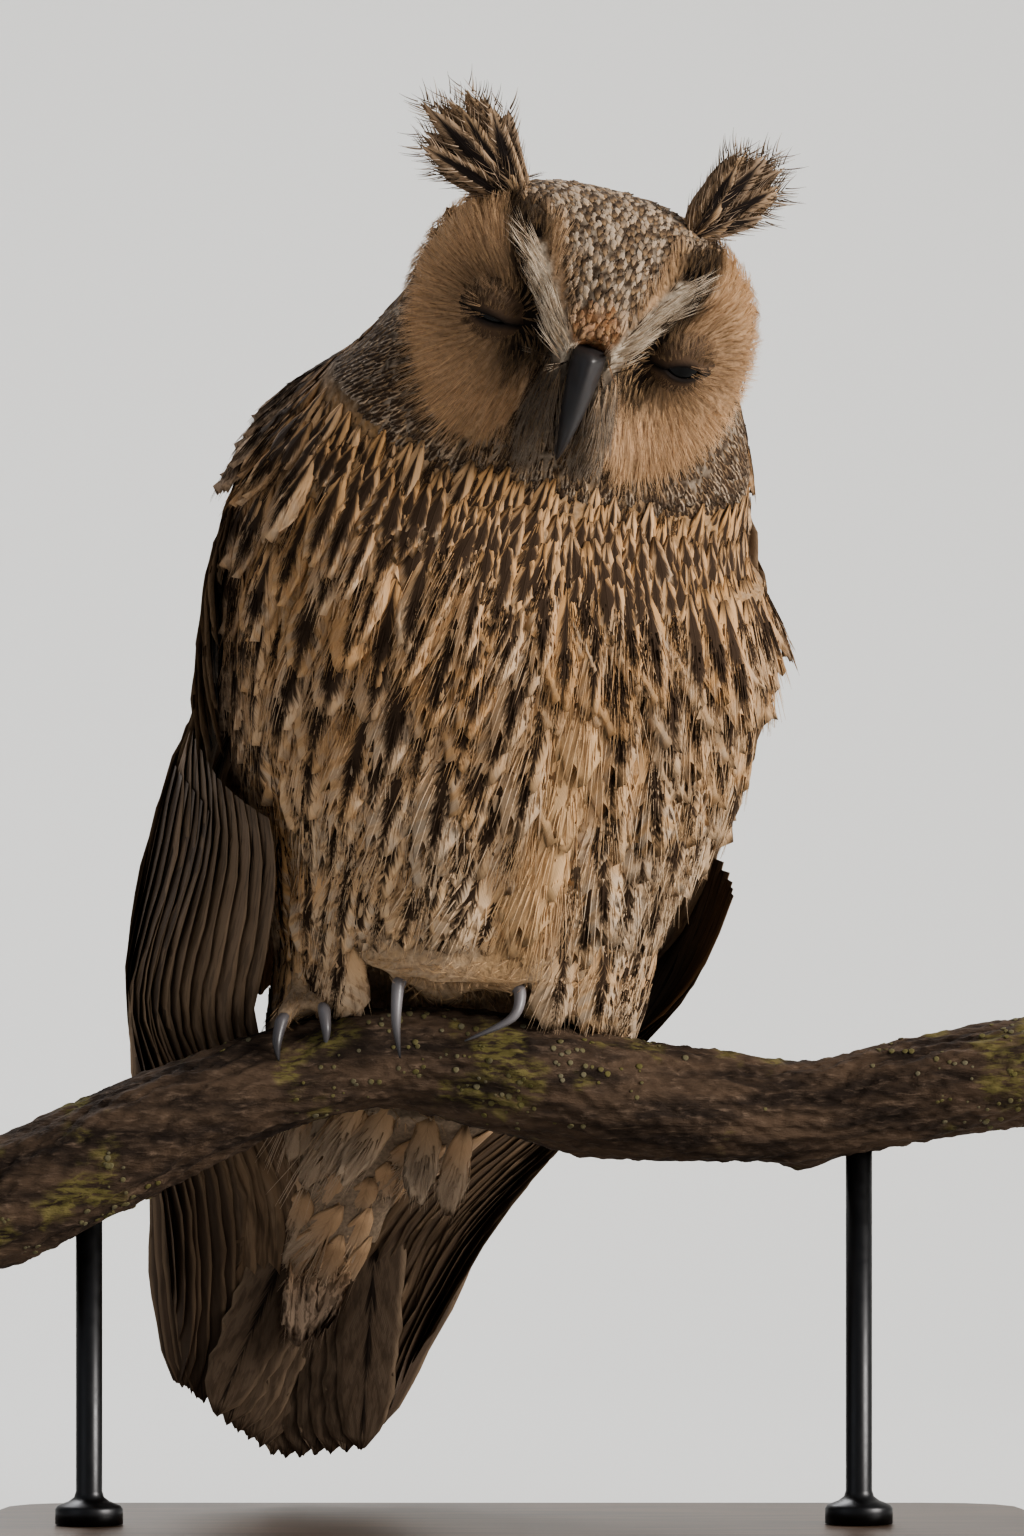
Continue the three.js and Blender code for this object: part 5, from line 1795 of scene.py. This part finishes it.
def build_lichen_tree():
    """Strews flakes over a surface, in patches."""
    sockets = {"Flake": "Collection", "Density": "Float", "Material": "Material", "Seed": "Int"}
    g, given = new_piece_tree("Lichen on bark", sockets)
    patchy = g.add("ShaderNodeTexNoise", {"Scale": 42.0, "Detail": 2.0}).outputs[0]
    where = g.times(g.math("GREATER_THAN", patchy, 0.57), given["Density"])
    strewn = g.add("GeometryNodeDistributePointsOnFaces", {"Mesh": given["Geometry"], "Seed": given["Seed"]})
    g.put(shown_socket(strewn.inputs, "Density"), where)
    kinds = g.add("GeometryNodeCollectionInfo", {"Collection": given["Flake"]})
    placed = g.add(
        "GeometryNodeInstanceOnPoints",
        {"Points": strewn.outputs["Points"], "Instance": kinds.outputs[0],
         "Rotation": strewn.outputs["Rotation"], "Scale": g.random("FLOAT", 0.3, 0.95)},
    )
    real = g.add("GeometryNodeRealizeInstances", {"Geometry": placed.outputs[0]})
    g.give_out(real.outputs[0], given["Material"])
    return g.tree


def lichen_material():
    material, g = new_material("Lichen")
    tint = g.noise(g.objects(), 120.0)
    colour = g.blend(g.step(tint, 0.35, 0.65), (0.105, 0.092, 0.035), (0.13, 0.115, 0.075))
    g.surface(Base_Color=colour, Roughness=0.9, Specular_IOR_Level=0.2)
    return material


class OWL_OT_perch(bpy.types.Operator):
    """Roughen the branch with bark and scatter lichen over it"""

    bl_idname = "owl.perch"
    bl_label = "Perch"

    def execute(self, context):
        settings = context.scene.owl_perch
        rings, count = [], 360
        for i in range(count):
            x = BENDS[0, 0] + (BENDS[-1, 0] - BENDS[0, 0]) * i / (count - 1)
            rings.append(self.ring(x, settings.relief, min(i, count - 1 - i)))
        mesh = tube_mesh("bark_perch", rings)
        mesh.materials.append(bark_material(tuple(settings.bark)))
        finish_piece(new_object("bark_perch", mesh), ("perch",))
        self.lichen(mesh, settings.flakes)
        return {"FINISHED"}

    def ring(self, x, relief, inset):
        row = branch_at(x)
        slope = branch_at(x + 1)[1] - row[1]
        way = unit(np.array([1.0, BOW / BOW_LENGTH * math.cos(x / BOW_LENGTH), slope]))
        across = unit(np.cross(way, (0, 0, 1)))
        over = np.cross(across, way)
        a = 2 * PI * np.arange(150) / 150
        knurl = 0.6 * np.sin(3 * a + x * 0.06) + 0.45 * np.sin(5 * a - x * 0.11)
        ridges = np.sin(17 * a + 2.2 * np.sin(x * 0.09 + 2 * a) + 1.3 * np.sin(x * 0.31))
        cracks = np.sin(x * 1.1 + 3 * np.sin(4 * a) + 2 * np.sin(7 * a + x * 0.17))
        bark = relief * (0.42 * ridges + 0.22 * ridges * cracks + 0.25 * np.sin(31 * a + x * 0.45) * cracks)
        knots = sum(
            h * np.exp(-((x - kx) / w) ** 2) * np.maximum(0, np.cos(a - ka)) ** 8
            for kx, ka, h, w in KNOTS
        )
        r = row[2] + knurl * 0.8 + bark + knots - 0.5 - 0.4 * max(0, 3 - inset)
        centre = np.array([x, branch_depth(x), row[1]])
        return centre + across * (r * np.cos(a))[:, None] + over * (r * np.sin(a))[:, None]

    def lichen(self, mesh, flakes):
        """Small curled flakes set on the bark by nodes."""
        area = sum(p.area for p in mesh.polygons)
        values = {
            "Flake": flake_template(), "Density": flakes / area * 4, "Material": lichen_material(), "Seed": 4,
        }
        made = made_by_nodes(new_object("lichen host", mesh.copy()), build_lichen_tree(), values)
        finish_piece(new_object("lichen_perch", made), ())


# Radius and height of a rod's collar, from the base up to the plain rod
ROD_FOOT = [(0.05, 12.3), (9, 12.3), (9, 16.3), (8.4, 17.2), (5.5, 18.3), (4, 19.4), (3.5, 21)]


class OWL_OT_stand(bpy.types.Operator):
    """Stain the base and blacken the rods"""

    bl_idname = "owl.stand"
    bl_label = "Stand"

    def execute(self, context):
        wood, g = new_material("Stained wood")
        x, y, z = g.parts(g.objects())[:3]
        grain = g.noise(g.vector(g.times(x, 0.12), y, z), 160.0, 4.0, 0.6)
        colour = g.blend(g.step(grain, 0.3, 0.7), (0.030, 0.017, 0.010), (0.085, 0.048, 0.027))
        g.surface(Base_Color=colour, Roughness=0.42, Normal=g.bump(grain, 0.15, 0.0003))
        base = bpy.data.objects["stand_base"]
        base.data.materials.clear()
        base.data.materials.append(wood)
        steel, g = new_material("Blackened steel")
        wear = g.noise(g.objects(), 300.0, 3.0)
        g.surface(
            Base_Color=(0.045, 0.045, 0.047), Metallic=1.0, Roughness=g.line(wear, 0.25, 0.28)
        )
        for name, x in (("stand_rod_1", -112), ("stand_rod_2", 92)):
            row, y = branch_at(x), branch_depth(x)
            profile = [*ROD_FOOT, (ROD_FOOT[-1][0], row[1] - row[2] + 1.5)]
            turns = np.linspace(0, 2 * PI, 41)[:-1]
            rings = [[(x + r * math.cos(a), y + r * math.sin(a), z) for a in turns] for r, z in profile]
            made = new_object("steel_" + name, tube_mesh("steel_" + name, rings, smooth_shaded=False))
            made.data.polygons.foreach_set("use_smooth", [len(p.vertices) == 4 for p in made.data.polygons])
            made.data.materials.append(steel)
            finish_piece(made, (name,))
        return {"FINISHED"}


class OWL_OT_stage(bpy.types.Operator):
    """Set floor, light and camera"""

    bl_idname = "owl.stage"
    bl_label = "Stage"

    def execute(self, context):
        settings = context.scene.owl_stage
        scene = context.scene
        near, far, bend, high = -4.0, 0.9, 0.8, 4.0
        profile = [(near, 0.0), (far, 0.0)]
        for a in np.linspace(0.1, PI / 2, 14):
            profile.append((far + bend * math.sin(a), bend - bend * math.cos(a)))
        profile.append((far + bend, high))
        points = [(x, y / MM, z / MM) for y, z in profile for x in (near / MM, -near / MM)]
        floor = new_object("floor", mesh_from("floor", points, grid_faces(len(profile), 2)))
        pale, g = new_material("Pale floor")
        behind = g.add("ShaderNodeNewGeometry").outputs["Backfacing"]
        g.surface(Base_Color=(0.70, 0.70, 0.69), Roughness=0.9, Alpha=g.math("SUBTRACT", 1.0, behind))
        floor.data.materials.append(pale)
        aim = Vector((0, 0, 0.2))
        lights = (
            ("key", (2.0, -1.0, 1.1), 0.9, settings.key, (1.0, 0.96, 0.90)),
            ("fill", (-1.6, -1.3, 0.9), 1.4, settings.key * 0.035, (0.92, 0.96, 1.0)),
            ("rim", (-0.5, 1.0, 1.4), 0.8, settings.key * 0.25, (1.0, 1.0, 1.0)),
        )
        for name, place, size, power, colour in lights:
            data = bpy.data.lights.new(name, "AREA")
            data.size, data.energy, data.color = size, power, colour
            lamp = new_object(name, data)
            lamp.location = place
            lamp.rotation_euler = (aim - Vector(place)).to_track_quat("-Z", "Y").to_euler()
        world = bpy.data.worlds.new("Studio")
        world.use_nodes = True
        colour, strength = world.node_tree.nodes["Background"].inputs[:2]
        colour.default_value = (0.86, 0.88, 0.92, 1)
        strength.default_value = 0.31
        scene.world = world
        data = bpy.data.cameras.new("camera")
        data.sensor_width = 36
        data.lens = data.sensor_width * settings.distance / settings.field
        camera = new_object("camera", data)
        camera.location = (0, -settings.distance, 0.2125)
        camera.rotation_euler = (PI / 2, 0, 0)
        scene.camera = camera
        scene.view_settings.view_transform = "AgX"
        scene.view_settings.look = "AgX - Medium High Contrast"
        return {"FINISHED"}


class OWL_PT_panel(bpy.types.Panel):
    """Lists the steps and the settings"""

    bl_idname = "OWL_PT_panel"
    bl_label = "Owl"
    bl_space_type = "VIEW_3D"
    bl_region_type = "UI"
    bl_category = "Owl"

    def draw(self, context):
        for group in SETTINGS:
            values = getattr(context.scene, group)
            for key in values.__annotations__:
                self.layout.prop(values, key)
        for operator in OPERATORS:
            self.layout.operator(operator.bl_idname)


SETTINGS = {
    "owl_plumage": PlumageSettings, "owl_horn": HornSettings,
    "owl_perch": PerchSettings, "owl_stage": StageSettings,
}
OPERATORS = (
    OWL_OT_skin, OWL_OT_body_plumage, OWL_OT_face_plumage, OWL_OT_leg_plumage, OWL_OT_wings, OWL_OT_tail,
    OWL_OT_ear_tufts, OWL_OT_eyes, OWL_OT_bill, OWL_OT_claws, OWL_OT_perch, OWL_OT_stand, OWL_OT_stage,
)


def register():
    for made in (*SETTINGS.values(), *OPERATORS, OWL_PT_panel):
        bpy.utils.register_class(made)
    for key, made in SETTINGS.items():
        setattr(bpy.types.Scene, key, bpy.props.PointerProperty(type=made))


def unregister():
    for key in SETTINGS:
        delattr(bpy.types.Scene, key)
    for made in reversed((*SETTINGS.values(), *OPERATORS, OWL_PT_panel)):
        bpy.utils.unregister_class(made)


def main():
    register()
    build_barb_group()
    build_marks_group()
    build_plumage_tree()
    make_templates()
    for operator in OPERATORS:
        area, name = operator.bl_idname.split(".")
        getattr(getattr(bpy.ops, area), name)()
    for kind in (*TEMPLATES, "flake"):
        collection = bpy.data.collections[kind]
        for template in list(collection.objects):
            bpy.data.objects.remove(template)
        bpy.data.collections.remove(collection)
    bpy.context.view_layer.update()


if __name__ == "__main__":
    main()
